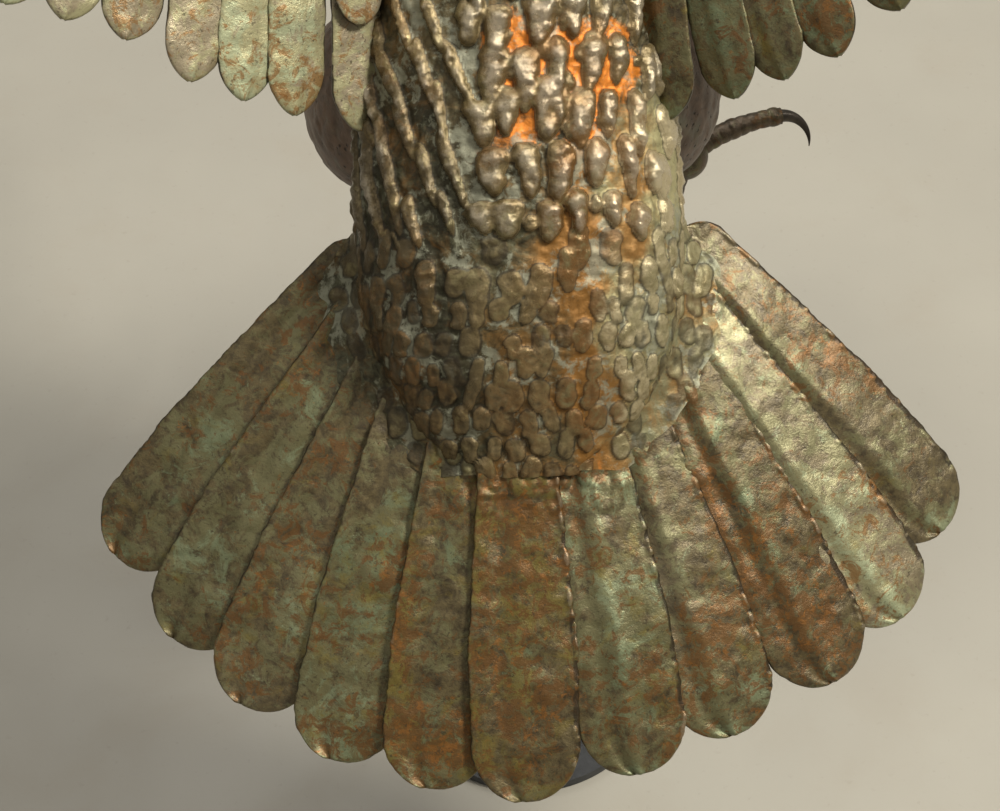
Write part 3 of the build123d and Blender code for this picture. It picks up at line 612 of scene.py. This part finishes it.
def make_tail(material):
    """Eleven feathers. The middle one is the top sheet, and the rest go down in steps to each side."""
    drips = tail_drips()
    middle = len(TAIL_TIPS) // 2
    for i, (tip_x, tip_y, angle) in enumerate(TAIL_TIPS):
        a = radians(angle)
        root = (tip_x - TAIL_LENGTH * sin(a), tip_y + TAIL_LENGTH * cos(a))
        lift = (3.4 if i < middle else 4.0 if i == middle else 0.3, -1.0)

        def extra(x, y, along):
            raised = drip_field(x, y, drips) * (1 - smooth(75, 110, along))
            return raised + 1.6 * smooth(62, 59, along) if i == middle else raised

        out, surface = Mesh(), tail_surface(-abs(i - middle) * TAIL_STEP)
        blade(out, root, angle, TAIL_LENGTH, TAIL_SHAPE, surface, 100 + i * 5, spacing=1.45,
              camber=1.2 if i < middle else 1.8, ridge=0.45 if i <= middle else 1.0,
              lift=lift, mix=TAIL_MIX[i], weld=1.0 if i >= middle else 0.25, extra=extra, root_round=16.0)
        out.piece(f"feather_tail_{i + 1:02d}", material, "tail_copper", f"tail_feather_{i + 1:02d}")


def make_apron(side, material):
    """The brazed fillet between one side of the rump and the roots of the tail feathers."""
    ts, ss = np.linspace(-7, 146, 150), np.linspace(0, 1, 60)
    rows = spline(BODY_STATIONS[:, 0], BODY_STATIONS[:, 1:], ts)
    n, half, up = rows[:, 0], rows[:, 2], rows[:, 3]
    rise = radians(34)
    row = ts * 0 + side * 9
    out_x = half + (25 - 25 * smooth(96, 146, ts) + 4 * noise(ts, row, 14, 63) + 2 * noise(ts, row, 5, 64))
    layer = -TAIL_STEP * (1.2 + 3.8 * np.clip(ts / 130, 0, 1))
    dx, dy = out_x - TAIL_CROWN[0], ts - TAIL_CROWN[1]
    out_z = sheet_height(dx, dy, TAIL_ACROSS_R, TAIL_ALONG_R, layer) - 0.4
    top = np.stack([half * cos(rise) - 1.5, ts, n + up * sin(rise) - 1.5], -1)
    low = np.stack([out_x, ts - 2, out_z], -1)
    knee = np.stack([half + 2.5, ts, out_z + 5], -1)
    s = ss[None, :, None]
    grid = (1 - s) ** 2 * top[:, None] + 2 * s * (1 - s) * knee[:, None] + s ** 2 * low[:, None]
    grid[..., 0] *= side
    if side > 0:
        grid, ss = grid[:, ::-1], 1 - ss
    x, t = grid[..., 0], np.repeat(ts[:, None], len(ss), 1)
    fade = (smooth(0, 0.10, ss) * smooth(1, 0.90, ss))[None, :]
    relief = drip_field(x, t, tail_drips()) * fade
    rough = 0.8 * fbm(x, t, 15, 65, 3) + 0.5 * creased(x, t, 7.0, 66) * fade
    points = grid - normals_of(grid) * (relief + rough)[..., None]
    mix = body_mix(grid, x, t)
    mix[..., 0] += 0.25
    # Paler on the right apron and darker on the left: painted light and painted shade.
    mix[..., 3] = np.clip(mix[..., 3] + 0.05 * side, 0, 1)
    make_piece(f"{SIDES[side]}_tail_apron", to_vane(points), grid_faces(len(ts), len(ss), flip=True), mix,
               np.clip(relief / 4 + 0.03 * rough, 0, 2), material)


# ---------------------------------------------------------------- wings
def wing_surface(layer, side):
    """The curved sheet that one wing feather lies in, as a function of its plan u, t and a height."""
    def place(u, t, h):
        x, y = u - WING_CROWN[0], t - WING_CROWN[1]
        z = sheet_height(x, y, WING_SPAN_R, WING_CHORD_R, layer)
        return to_vane(wing_to_bird(np.stack([x, y, z + h], -1), side))
    return place


def arm_at(u):
    """The wing arm's middle line at u: its t, its slope and its half width."""
    u = min(max(u, ARM_LINE[0][0]), ARM_LINE[-1][0])
    for i in range(len(ARM_LINE) - 1):
        (u0, t0), (u1, t1) = ARM_LINE[i], ARM_LINE[i + 1]
        if u <= u1:
            f = (u - u0) / (u1 - u0)
            half0, half1 = ARM_HALF[i][0], ARM_HALF[i + 1][0]
            return t0 + f * (t1 - t0), (t1 - t0) / (u1 - u0), half0 + f * (half1 - half0)


def remiges(angles):
    """Place, angle and length of each flight feather, its root clear of the arm. Secondaries come first."""
    rows, root_w = [], 9.0
    for (tip_u, tip_t), angle in zip(SECONDARY_TIPS, angles):
        a, length = radians(angle), 190.0
        for _ in range(12):
            u = tip_u - length * sin(a)
            t, slope, half = arm_at(u)
            gap = (half + 1.5) * hypot(1, slope) + root_w * abs(sin(a))
            length = (t - gap - tip_t) / cos(a)
        rows.append((u, tip_t + length * cos(a), angle, length))
    for u, angle, length in zip(PRIMARY_U, PRIMARY_ANGLES, PRIMARY_LENGTHS):
        a = radians(angle)
        t, slope, half = arm_at(u)
        off = half + 1.5 + root_w
        if u < ARM_LINE[-1][0]:
            along = atan2(slope, 1)
            rows.append((u + off * sin(along), t - off * cos(along), angle, length))
        else:
            rows.append((u + 1 + 8 * abs(cos(a)), t - (4 if angle < 90 else -2), angle, length))
    return rows


def coverts(rows, share, reach, last=None):
    """Coverts, each a share of its flight feather's length, starting reach further in."""
    made = []
    for u, t, angle, length in rows[:last]:
        a = radians(angle)
        made.append((u - reach * sin(a), t + reach * cos(a), angle, length * share + reach))
    return made


def make_wing(side, angles, material):
    """Both rows of flight feathers, three rows of coverts and the alula."""
    name = SIDES[side]
    rows = remiges(angles)
    pale = 0.88 if side < 0 else 0.14
    rng = np.random.default_rng(7 + side)

    def group(label, part, chosen, shape, top, spacing, first=0, **more):
        """A row of feathers, each one sheet below the last from the sheet at the top."""
        out, label = Mesh(inside_out=side < 0), f"{name}_{label}_blades"
        for k, (u, t, angle, length) in enumerate(chosen, first):
            tint = (0.34 + rng.uniform(-0.08, 0.14), rng.uniform(0, 0.18), rng.uniform(0.22, 0.36),
                    pale + rng.uniform(-0.10, 0.10))
            blade(out, (u, t), angle, length, shape, wing_surface((top - k) * WING_STEP, side),
                  300 + 40 * (side > 0) + k * 3 + len(label), spacing=spacing, mix=tint, **more)
        out.piece(label, material, "wing_copper", f"{name}_{part}")

    greater = coverts(rows, 0.42, 0)
    if side < 0:
        u, t, angle, _ = greater[0]
        greater[0] = (u + 8, t, angle - 3, 126)
    alula = [(352 + 11 * i, 470 - 2 * i, 66 + 8 * i, 92 - 10 * i) for i in range(3)]
    wrist_sheet = (ARM_LINE[6][0] - SHOULDER_U) / ROOT_PITCH
    group("secondary", "secondaries", rows[:SECONDARIES], (9, 16.5, 0.55, 16.5, 0.87, True), 0, 1.7,
          camber=1.6, ridge=0.25)
    group("primary", "primaries", rows[SECONDARIES:], (8, 17.5, 0.42, 13, 0.90, False), 0, 2.6,
          first=SECONDARIES, camber=1.0, ridge=0.6, rough=0.8)
    group("greater_covert", "greater_coverts", greater, (8.5, 15, 0.5, 15, 0.82, False), 3, 2.4,
          camber=0.8, ridge=0.3, rough=0.7)
    group("median_covert", "median_coverts", coverts(rows, 0.2, 8, -3), (7.5, 13.5, 0.5, 13.5, 0.78, False),
          7, 2.4, camber=0.8, ridge=0.3, rough=0.7)
    group("under_covert", "under_coverts", coverts(rows, 0.36, 0), (8, 14.5, 0.5, 14.5, 0.8, False), -3, 3.0,
          camber=0.0, ridge=0.0, rough=0.5)
    group("alula", "alula", alula, (6, 10, 0.5, 9, 0.82, False), 9 - wrist_sheet, 2.2,
          camber=0.6, ridge=0.5, rough=0.7)


# ---------------------------------------------------------------- skins
def skin(name, node_name, material, grid, a, t, drips, mix_of, ground, seed):
    """A skin over a grid of points, raised by drips of braze. a and t are mm across and along it."""
    relief = drip_field(a, t, drips)
    rough = ground * fbm(a, t, 16, seed, 3) + 0.34 * noise(a, t, 3.0, seed + 9)
    crust = 0.8 * creased(a, t, 7.5, seed + 15) + 0.55 * creased(a, t, 4.2, seed + 19)
    rough = rough + ground * crust * (0.25 + 0.75 * smooth(2.0, 0.4, relief))
    points = grid + normals_of(grid) * (relief + rough)[..., None]
    mix = mix_of(points, a, t)
    make_piece(name, to_vane(points), grid_faces(*grid.shape[:2]), mix,
               np.clip(relief / 4.0 + 0.03 * rough, 0, 2), material, [node_name])


def limb_skin(name, node_name, material, side, grid, height, relief, mix):
    """The closed skin of a leg or an arm, raised by a height, with the drips' relief for its colour."""
    points = grid + normals_of(grid, True) * side * height[..., None]
    faces = grid_faces(*grid.shape[:2], wrap=True, flip=side < 0)
    make_piece(name, to_vane(points), faces, mix, relief / 3, material, [node_name])


def body_grid(ts, angles):
    """Points of the body's outside at the stations ts and the angles, from the right flank over the back."""
    rows = spline(BODY_STATIONS[:, 0], BODY_STATIONS[:, 1:], ts)
    n, tilt, half, up, down = (rows[:, i][:, None] for i in range(5))
    tilt = np.radians(tilt)
    angles = angles[None, :] if angles.ndim == 1 else angles
    height = np.where(np.sin(angles) >= 0, up, down) * np.sin(angles)
    x = half * np.cos(angles)
    return np.stack([x, ts[:, None] + height * np.sin(tilt), n + height * np.cos(tilt)], -1)


# The drips of the middle back stand in staggered rows.
BACK_ROWS, BACK_ROW_T, BACK_ROW_PITCH = 5, 130.0, 26.0
BACK_COLUMNS, BACK_COLUMN_A, BACK_COLUMN_PITCH = 8, -60.0, 18.5
SLIM_BELOW = -28.0


def back_drips(rng):
    """Rows over the middle back: slim slanting drips on the left, plump ones with blobs on them elsewhere."""
    drips = []
    for row in range(BACK_ROWS):
        for column in range(BACK_COLUMNS):
            a = BACK_COLUMN_A + BACK_COLUMN_PITCH * (column + 0.5 * (row % 2))
            t = BACK_ROW_T + BACK_ROW_PITCH * row
            slim = a < SLIM_BELOW
            length = (42 if slim else 31) * rng.uniform(0.78, 1.2) * (0.65 if row == 0 else 1.0)
            width = (7.4 if slim else 15.0 - 0.06 * max(a, 0)) * rng.uniform(0.85, 1.15)
            a, t = a + rng.normal(0, 1.6), t + rng.normal(0, 2.6)
            lean = (-0.30 if slim else 0.04) + rng.normal(0, 0.07)
            drips.append(drip(rng, a, t, length, width, 4.0 if slim else 4.8, lean, 0.40))
            for _ in range(0 if slim else 2):
                drips.append(drip(rng, a + rng.normal(0, 0.36) * width,
                                  t + rng.uniform(-0.22, 0.36) * length, length * 0.38, width * 0.70, 3.0,
                                  rng.normal(0, 0.7), 0.1))
    return drips


def body_drips(rng):
    """Bumps like scales over the rump, blobs over the loins, long drips over the back and the neck."""
    drips = back_drips(rng)
    t, row = -8.0, 0
    while t < 540:
        if t < 92:
            pitch_t, pitch_a, length, width, height, taper = 14.8, 12.8, 16.5, 10.6, 2.7, 0.0
        elif t < 140:
            pitch_t, pitch_a, length, width, height, taper = 19, 16, 22, 13, 2.8, 0.10
        else:
            pitch_t, pitch_a, length, width, height, taper = 26.0, 18.0, 34, 15.0, 4.8, 0.42
        limit = 320
        for k in range(int(-limit / pitch_a), int(limit / pitch_a) + 1):
            a = (k + 0.5 * (row % 2)) * pitch_a + rng.normal(0, 0.10 * pitch_a)
            tt = t + rng.normal(0, 0.12 * pitch_t)
            lean, wide, long, high = 0.0, width, length, height
            if t >= 120 and a < -14:
                lean, wide, long = -0.30, width * 0.60, length * 1.15
            if t < 120:
                lean = rng.normal(0, 0.15) - a * 0.002
                high = height * rng.uniform(0.45, 1.0)
            grow = rng.uniform(0.75, 1.2)
            if rng.random() < 0.05 or (-68 < a < 86 and 115 < tt < 250):
                continue
            drips.append(drip(rng, a, tt, long * grow, wide * rng.uniform(0.82, 1.20),
                              high * rng.uniform(0.7, 1.15), lean + rng.normal(0, 0.08), taper))
            if t > 110 and rng.random() < 0.28:
                drips.append(drip(rng, a + rng.normal(0, 0.30) * wide, tt + rng.uniform(-0.1, 0.45) * long,
                                  long * 0.42, wide * rng.uniform(0.7, 1.15), high * rng.uniform(0.5, 0.9),
                                  rng.normal(0, 0.6), 0.1))
            if t > 110 and rng.random() < 0.22:
                drips.append(drip(rng, a + rng.normal(0, 0.1) * wide, tt - 0.55 * long, long * 0.5,
                                  wide * 0.38, high * 0.6, lean + rng.normal(0, 0.15), 0.4))
        t += pitch_t
        row += 1
    return drips


def body_mix(points, a, t):
    """Green, orange, rust and paleness over the back. The paleness holds pale patina, painted light on the
    right flank and painted shade on the left.
    """
    x = points[..., 0]
    wobble = 12 * noise(x, t, 26, 77) + 6 * noise(x, t, 9, 78)
    near = x + wobble
    patch = smooth(-34, -2, near) * (1 - smooth(50, 78, near))
    patch = patch * smooth(138, 176, t + wobble - 0.25 * x) * (1 - smooth(226, 262, t + wobble))
    foot = np.exp(-((x - 42 + wobble) / 9) ** 2) * smooth(24, 4, t)
    streak = 0.85 * np.exp(-((x - 38 + 1.6 * wobble) / 15) ** 2) * (1 - smooth(150, 185, t))
    branch = 0.6 * np.exp(-((x - 60 + wobble) / 9) ** 2) * smooth(90, 120, t)
    streak = streak + branch * (1 - smooth(175, 200, t))
    rump = 1 - smooth(110, 170, t)
    green = 0.22 + 0.30 * smooth(36, 74, x) * rump + 0.16 * fbm(x, t, 46, 81, 2)
    green = green + 0.16 * rump * smooth(-70, -20, -np.abs(x))
    orange = 0.50 * patch + 0.30 * foot + 0.06 * streak
    rust = 0.18 + 0.20 * rump * smooth(-40, 0, x) + 0.58 * streak + 0.25 * patch + 0.12 * smooth(0, -90, x)
    rust = rust + 0.14 * fbm(x, t, 26, 85, 2)
    # Paler on the right flank: pale patina and painted light on the side the key light comes from.
    pale = 0.30 + 0.85 * smooth(28, 66, near) * (1 - smooth(160, 215, t))
    # Darker on the left flank: painted shade.
    pale = pale - 0.34 * smooth(-4, -62, x) * (1 - smooth(190, 260, t))
    pale = pale + 0.10 * smooth(140, 200, t) + 0.08 * fbm(x, t, 30, 87, 2)
    return np.clip(np.stack([green, orange, rust, pale], -1), 0, 1)


def across_of(grid):
    """Distance across each row of a grid, in mm from its middle."""
    step = np.linalg.norm(np.diff(grid, axis=1), axis=-1)
    total = np.concatenate([np.zeros((grid.shape[0], 1)), np.cumsum(step, axis=1)], 1)
    return total - total[:, [grid.shape[1] // 2]]


def make_body(material):
    """The back and the belly, which meet at a seam a little below the flanks."""
    drips = body_drips(np.random.default_rng(5))
    seam = radians(6)
    back_ts = np.concatenate([np.linspace(-9.5, 60, 62), np.linspace(61.2, 330, 222),
                              np.linspace(332, 510, 100)])
    halves = (("back_skin", "back_shell", "back_bronze", back_ts, np.linspace(pi + seam, -seam, 236), 11),
              ("belly_skin", "belly_shell", "body_copper", np.linspace(-6, 510, 240),
               np.linspace(-seam, -pi + seam, 150), 13))
    for name, node_name, slot, ts, angles, seed in halves:
        grid = body_grid(ts, angles)
        t = np.repeat(ts[:, None], len(angles), 1)
        skin(name, node_name, material, grid, across_of(grid), t, drips, body_mix, 0.8, seed)


def head_point(s, x, h):
    """A point of the head, s along it from the neck, in the bird frame."""
    a = radians(HEAD_TILT)
    t0, n0 = BODY_STATIONS[-1][:2]
    return np.stack([x, t0 + s * cos(a) + h * sin(a), n0 - s * sin(a) + h * cos(a)], -1)


def head_mix(points, a, t):
    """Green, no orange, rust and paleness over the head."""
    return np.stack([0.28 + 0.2 * fbm(a, t, 30, 91, 2), 0 * a, 0.14 + 0.12 * fbm(a, t, 22, 92, 2),
                     0.42 + 0.1 * fbm(a, t, 40, 93, 2)], -1)


def make_head(material):
    """The head, with a brow over each eye and a hollow round it."""
    rng = np.random.default_rng(21)
    crown = HEAD_STATIONS[-1][0]
    ss, th = np.linspace(-3, crown, 90), np.linspace(pi, -pi, 170)
    rows = spline(HEAD_STATIONS[:, 0], HEAD_STATIONS[:, 1:], ss)
    middle, half, up, down = (rows[:, i][:, None] for i in range(4))
    height = np.where(np.sin(th) >= 0, up, down) * np.sin(th)[None, :]
    s = np.repeat(ss[:, None], len(th), 1)
    brow = 3.5 * np.exp(-((s - 62) / 16) ** 2) * np.exp(-((np.abs(half * np.cos(th)) - 26) / 9) ** 2)
    brow = brow * (np.sin(th) > 0.3)
    eye = np.exp(-((s - EYE_AT[0]) / 9.5) ** 2 - ((height + middle - EYE_AT[2]) / 8.5) ** 2)
    grid = head_point(s, half * np.cos(th) * (1 - 0.16 * eye), middle + height + brow)
    drips = scale_rows(rng, crown - np.arange(-4, 80, 10.5), np.arange(-150, 150, 11.0), 5.5, (1.2, 1.0),
                       (17, 0.8, 1.2), 9.0, (1.7, 0.6, 1.2), 0.1, 0.35)
    skin("head_skin", "head_shell", material, grid, across_of(grid), crown - s, drips,
         head_mix, 0.4, 17)


def tube_grid(centres, across, through, half_a, half_b, count):
    """Rings round a line of centres, with half widths half_a and half_b along across and through."""
    th = np.linspace(0, 2 * pi, count, endpoint=False)
    ring = (half_a[:, None, None] * np.cos(th)[None, :, None] * across[:, None, :]
            + half_b[:, None, None] * np.sin(th)[None, :, None] * through[:, None, :])
    return centres[:, None, :] + ring, th


def unit(v):
    return v / np.maximum(np.linalg.norm(v, axis=-1, keepdims=True), 1e-9)


def around_of(th, half_a, half_b):
    """Distance round each ring, in mm."""
    return (th[None, :] - pi) * ((half_a + half_b) / 2)[:, None]


def make_thigh(side, material):
    """The thigh, from the hip down to the ankle."""
    rng = np.random.default_rng(31 + side)
    axis = ANKLE - HIP
    lean = unit(np.array([0, 1, 0]) - axis * axis[1] / (axis @ axis))
    through = unit(np.cross(axis, lean))
    f = np.linspace(0.02, 1.0, 130)
    rows = spline(THIGH_STATIONS[:, 0], THIGH_STATIONS[:, 1:], f)
    grid, th = tube_grid(HIP + f[:, None] * axis, np.repeat(lean[None], len(f), 0),
                         np.repeat(through[None], len(f), 0), rows[:, 1], rows[:, 0], 170)
    grid[..., 0] *= side
    a = around_of(th, rows[:, 0], rows[:, 1])
    t = np.repeat((f * np.linalg.norm(axis))[:, None], len(th), 1)
    drips = scale_rows(rng, np.arange(0, 176, 15.0), np.arange(-150, 150, 14.0), 7, (2, 2), (24, 0.7, 1.1),
                       12, (1.1, 0.3, 1.2), 0.1, 0.0)
    relief = drip_field(a, t, drips)
    limb_skin(f"{SIDES[side]}_thigh_skin", f"{SIDES[side]}_thigh", material, side, grid,
              relief * 0.8 + 0.5 * fbm(a, t, 14, 33, 2), relief, np.tile([0.1, 0.0, 0.2, 0.3], (a.size, 1)))


def wing_point(u, t):
    """A point of the arm's middle line, in the wing's own frame."""
    x, y = u - WING_CROWN[0], t - WING_CROWN[1]
    layer = -(u - SHOULDER_U) / ROOT_PITCH * WING_STEP
    return np.array([x, y, sheet_height(x, y, WING_SPAN_R, WING_CHORD_R) + layer])


def make_arm(side, material):
    """The wing's arm, from the shoulder out to the last primary."""
    rng = np.random.default_rng(41 + side)
    g = radians(WING_DIHEDRAL)
    x, y, z = SHOULDER - WING_AT
    shoulder = np.array([x * cos(g) + z * sin(g), y, -x * sin(g) + z * cos(g)])
    line = np.array([shoulder] + [wing_point(*place) for place in ARM_LINE])
    halves = np.array([SHOULDER_HALF] + ARM_HALF, float)
    at = np.concatenate([[0], np.cumsum(np.linalg.norm(np.diff(line, axis=0), axis=1))])
    f = np.linspace(26, at[-1], 260)
    centres, half = spline(at, line, f), spline(at, halves, f)
    along = unit(np.gradient(centres, axis=0))
    chord = unit(np.array([0, 1, 0]) - along * along[:, [1]])
    grid, th = tube_grid(centres, chord, np.cross(along, chord), half[:, 0], half[:, 1], 84)
    grid = wing_to_bird(grid, side)
    a = around_of(th, half[:, 0], half[:, 1])
    t = np.repeat(f[:, None], len(th), 1)
    drips = scale_rows(rng, np.arange(20, at[-1], 13.0), np.arange(-70, 70, 12.0), 6, (1.5, 1.5),
                       (21, 0.8, 1.2), 10.5, (1.9, 0.5, 1.2), 0.2, 0.2)
    relief = drip_field(a, t, drips)
    mix = np.stack([0.28 + 0.2 * fbm(a, t, 40, 44, 2), 0 * a, 0.15 + 0.15 * fbm(a, t, 30, 45, 2),
                    0.42 + 0.12 * fbm(a, t, 60, 46, 2)], -1)
    limb_skin(f"{SIDES[side]}_arm_skin", f"{SIDES[side]}_wing_arm", material, side, grid,
              relief + 0.4 * fbm(a, t, 12, 43, 2), relief, mix)


def toe_line(start, first, curl, length, bend, count):
    """An arc from start: its points, its directions, and the directions that it turns towards."""
    first, curl = unit(np.array(first, float)), np.array(curl, float)
    curl = unit(curl - first * (curl @ first))
    total = radians(bend)
    a = np.linspace(0, total, count)[:, None]
    radius = length / total
    at = start + first * radius * np.sin(a) + curl * radius * (1 - np.cos(a))
    return at, first * np.cos(a) + curl * np.sin(a), curl * np.cos(a) - first * np.sin(a)


def closed_tube(out, centres, side_dir, along, radii, count, swell=1.0, mix=(0.2, 0.1, 0.3, 0.3), relief=0.4,
                mirrored=False):
    """Adds a round tube with closed ends to a mesh. swell scales it round each ring."""
    grid = tube_grid(centres, side_dir, np.cross(along, side_dir), radii, radii, count)[0]
    grid = centres[:, None, :] + (grid - centres[:, None, :]) * swell
    if mirrored:
        grid, centres = grid * np.array([-1, 1, 1]), centres * np.array([-1, 1, 1])
    rows = len(centres)
    verts = np.concatenate([grid.reshape(-1, 3), centres[[0]], centres[[-1]]])
    k, n, end = np.arange(0, count, 2), rows * count, (rows - 1) * count
    first = np.stack([np.full(len(k), n), (k + 2) % count, (k + 1) % count, k], -1)
    last = np.stack([np.full(len(k), n + 1), end + k, end + (k + 1) % count, end + (k + 2) % count], -1)
    caps = [cap[:, ::-1] if mirrored else cap for cap in (first, last)]
    faces = np.concatenate([grid_faces(rows, count, wrap=True, flip=mirrored)] + caps)
    out.add(to_vane(verts), faces, np.tile(np.array(mix, float), (len(verts), 1)),
            np.full(len(verts), relief))


def make_foot(side, toe_material, claw_material):
    """The toes with their ring scales, the claws, and the shank with the pad under it."""
    name, foot, mirrored = SIDES[side], FOOT[side], side < 0
    toes, claws, shank = Mesh(), Mesh(), Mesh()
    th = np.linspace(0, 2 * pi, 28, endpoint=False)
    for first, curl, length, claw in TOES[side]:
        start = foot + unit(np.array(first, float)) * (FOOT_R - 4)
        at, along, turn = toe_line(start, first, curl, length, TOE_BEND, 90)
        y = np.linspace(0, 1, 90)
        radii = TOE_R0 + (TOE_R1 - TOE_R0) * y
        rings = 0.94 + 0.10 * np.abs(np.sin(y * length / 7.6 * pi)) ** 0.6
        pads = 1 + 0.10 * np.exp(-((y - 0.45) / 0.1) ** 2) + 0.12 * np.exp(-((y - 0.92) / 0.08) ** 2)
        swell = 1 + 0.03 * noise(th[None, :] * 9, y[:, None] * length, 3.0, 51)
        closed_tube(toes, at, turn, along, radii * rings * pads, 28, swell[..., None], mirrored=mirrored)
        at, along, turn = toe_line(at[-1] + along[-1] * 0.2, along[-1], turn[-1], claw, CLAW_BEND, 60)
        radii = CLAW_R * (1 - np.linspace(0, 1, 60) ** 1.25 * 0.93)
        closed_tube(claws, at, turn, along, radii, 22, mirrored=mirrored, relief=0.6)
    f = np.linspace(0, 1, 70)
    down = foot - ANKLE
    along = np.repeat(unit(down)[None], 70, 0)
    turn = np.repeat(unit(np.cross(unit(down), np.array([1, 0, 0])))[None], 70, 0)
    ringed = 0.97 + 0.05 * np.abs(np.sin(f * 17 * pi))
    radii = spline(np.linspace(0, 1, 4), np.array(SHANK_R, float), f) * ringed
    past = 1.14 * f
    pad = np.sqrt(np.clip(FOOT_R ** 2 - ((past - 1) * np.linalg.norm(down)) ** 2, 0, None))
    radii = np.where(past < 1, np.maximum(np.interp(past, f, radii), pad), pad)
    closed_tube(shank, ANKLE + np.outer(past, down), turn, along, np.maximum(radii, 0.4), 40,
                mirrored=mirrored, mix=(0.3, 0.1, 0.3, 0.3))
    toes.piece(f"{name}_toe_rings", toe_material, "foot_bronze", f"{name}_toes")
    claws.piece(f"{name}_claw_hooks", claw_material, "claw_bronze", f"{name}_claws")
    shank.piece(f"{name}_shank_scales", toe_material, "foot_bronze", f"{name}_shank")


def make_eyes(material):
    """A ball in each side of the head."""
    s, out, up = EYE_AT
    eyes = Mesh()
    f = np.linspace(0.0, pi, 40)
    for side in SIDES:
        centre = head_point(np.array(s), np.array(side * out), np.array(up))
        line = centre + np.outer(-np.cos(f) * EYE_R, [side, 0, 0])
        closed_tube(eyes, line, np.repeat([[0, 1.0, 0]], 40, 0), np.repeat([[side * 1.0, 0, 0]], 40, 0),
                    np.maximum(np.sin(f) * EYE_R, 0.2), 40, mix=(0, 0, 0, 0), relief=0.5)
    eyes.piece("eye_balls", material, "eye_bronze", "eyes")


# ---------------------------------------------------------------- stage
FLOOR_REACH, FLOOR_Z = 14.0, -0.001  # m
SKY, SKY_STRENGTH = (1.0, 0.965, 0.86, 1), 0.30
# Each light's place in the bird frame in mm, size in m, power in W and colour.
LIGHTS = {"key": ((2700, 2000, 3300), 1.1, 330, (1.0, 0.965, 0.87)),
          "fill": ((-1500, 200, 2300), 2.4, 12, (1.0, 0.97, 0.90)),
          "rim": ((-300, 2600, 900), 1.6, 40, (1.0, 0.98, 0.94))}
LIGHTS_AIM = (0.0, 60.0, 0.0)
CAMERA_AT, CAMERA_ROLL, CAMERA_LENS = (-14.5, 30.4, 1285.3), -0.039, 82.8


def make_stage():
    r, z = FLOOR_REACH, FLOOR_Z
    mesh = bpy.data.meshes.new("floor")
    mesh.from_pydata([(-r, -r, z), (r, -r, z), (r, r, z), (-r, r, z)], [], [(0, 1, 2, 3)])
    mesh.materials.append(concrete())
    floor = bpy.data.objects.new("floor", mesh)
    bpy.context.scene.collection.objects.link(floor)
    world = bpy.data.worlds.new("studio")
    world.use_nodes = True
    background = world.node_tree.nodes["Background"]
    background.inputs[0].default_value = SKY
    background.inputs[1].default_value = SKY_STRENGTH
    bpy.context.scene.world = world
    for name, values in LIGHTS.items():
        add_light(name, *values)


def add_light(name, at, size, power, colour):
    """A round area light aimed at the middle of the back."""
    data = bpy.data.lights.new(name, "AREA")
    data.shape, data.size, data.energy, data.color = "DISK", size, power, colour
    lamp = bpy.data.objects.new(name, data)
    place, target = Vector(to_vane(at) * MM), Vector(to_vane(LIGHTS_AIM) * MM)
    aim = (target - place).to_track_quat("-Z", "Y").to_matrix().to_4x4()
    lamp.matrix_world = Matrix.Translation(place) @ aim
    bpy.context.scene.collection.objects.link(lamp)


def make_camera():
    """A camera square to the back, which looks down the bird frame's third axis."""
    data = bpy.data.cameras.new("camera")
    data.sensor_width, data.lens, data.clip_end = 36.0, CAMERA_LENS, 50.0
    camera = bpy.data.objects.new("camera", data)
    right = np.array([cos(CAMERA_ROLL), sin(CAMERA_ROLL), 0.0]) @ BIRD_AXES
    up = np.array([-sin(CAMERA_ROLL), cos(CAMERA_ROLL), 0.0]) @ BIRD_AXES
    columns = zip(right, up, BIRD_AXES[2], to_vane(CAMERA_AT) * MM)
    camera.matrix_world = Matrix([list(row) for row in columns] + [[0, 0, 0, 1]])
    bpy.context.scene.collection.objects.link(camera)
    bpy.context.scene.camera = camera


def finish_cad_nodes():
    """Materials for the CAD nodes that stay as they are."""
    looks = (
        (plain_metal("mast_black", (0.030, 0.031, 0.033), 0.50, 0.1, 0.35),
         "base_flange mast_socket socket_gussets mast_pipe"),
        (plain_metal("ground_steel", (0.42, 0.42, 0.43), 0.34, 0.95, 0.2),
         "socket_screws spindle thrust_ball thrust_pad"),
        (plain_metal("frame_primer", (0.10, 0.065, 0.045), 0.60, 0.15),
         "rotor_tube rotor_cap backbone left_wing_spar right_wing_spar left_leg_bar right_leg_bar tail_strut "
         "tail_root_plate"),
        (plain_metal("bush_bronze", (0.36, 0.22, 0.09), 0.40, 0.9), "upper_bush lower_bush"),
        (plain_metal("skirt_copper", (0.17, 0.10, 0.060), 0.46, 0.5, 0.4, 55.0), "rain_skirt"),
        (plain_metal("beak_brass", (0.30, 0.20, 0.07), 0.36, 0.55, 0.4, 90.0), "upper_beak lower_beak"))
    for material, names in looks:
        for name in names.split():
            slots = NODES[name].material_slots
            if not slots:
                NODES[name].data.materials.append(material)
            for slot in slots:
                slot.link = "OBJECT"
                slot.material = material


def main():
    make_camera()
    make_stage()
    wing = patina("wing_patina", gloss=0.38)
    back = braze("back_braze")
    thigh = pitted("thigh_pitted")
    foot = patina("foot_patina", copper=(0.12, 0.085, 0.055))
    claw = plain_metal("claw_dark", (0.075, 0.060, 0.045), 0.34, 0.5, 0.5, 120.0)
    make_tail(patina("tail_patina"))
    make_body(back)
    make_head(back)
    make_eyes(plain_metal("eye_dark", (0.05, 0.028, 0.010), 0.16, 0.7, 0.1, 90.0))
    for side, angles in ((1, RIGHT_ANGLES), (-1, LEFT_ANGLES)):
        make_wing(side, angles, wing)
        make_arm(side, back)
        make_thigh(side, thigh)
        make_apron(side, back)
        make_foot(side, foot, claw)
    finish_cad_nodes()
    bpy.context.scene.view_settings.view_transform = "Standard"


main()
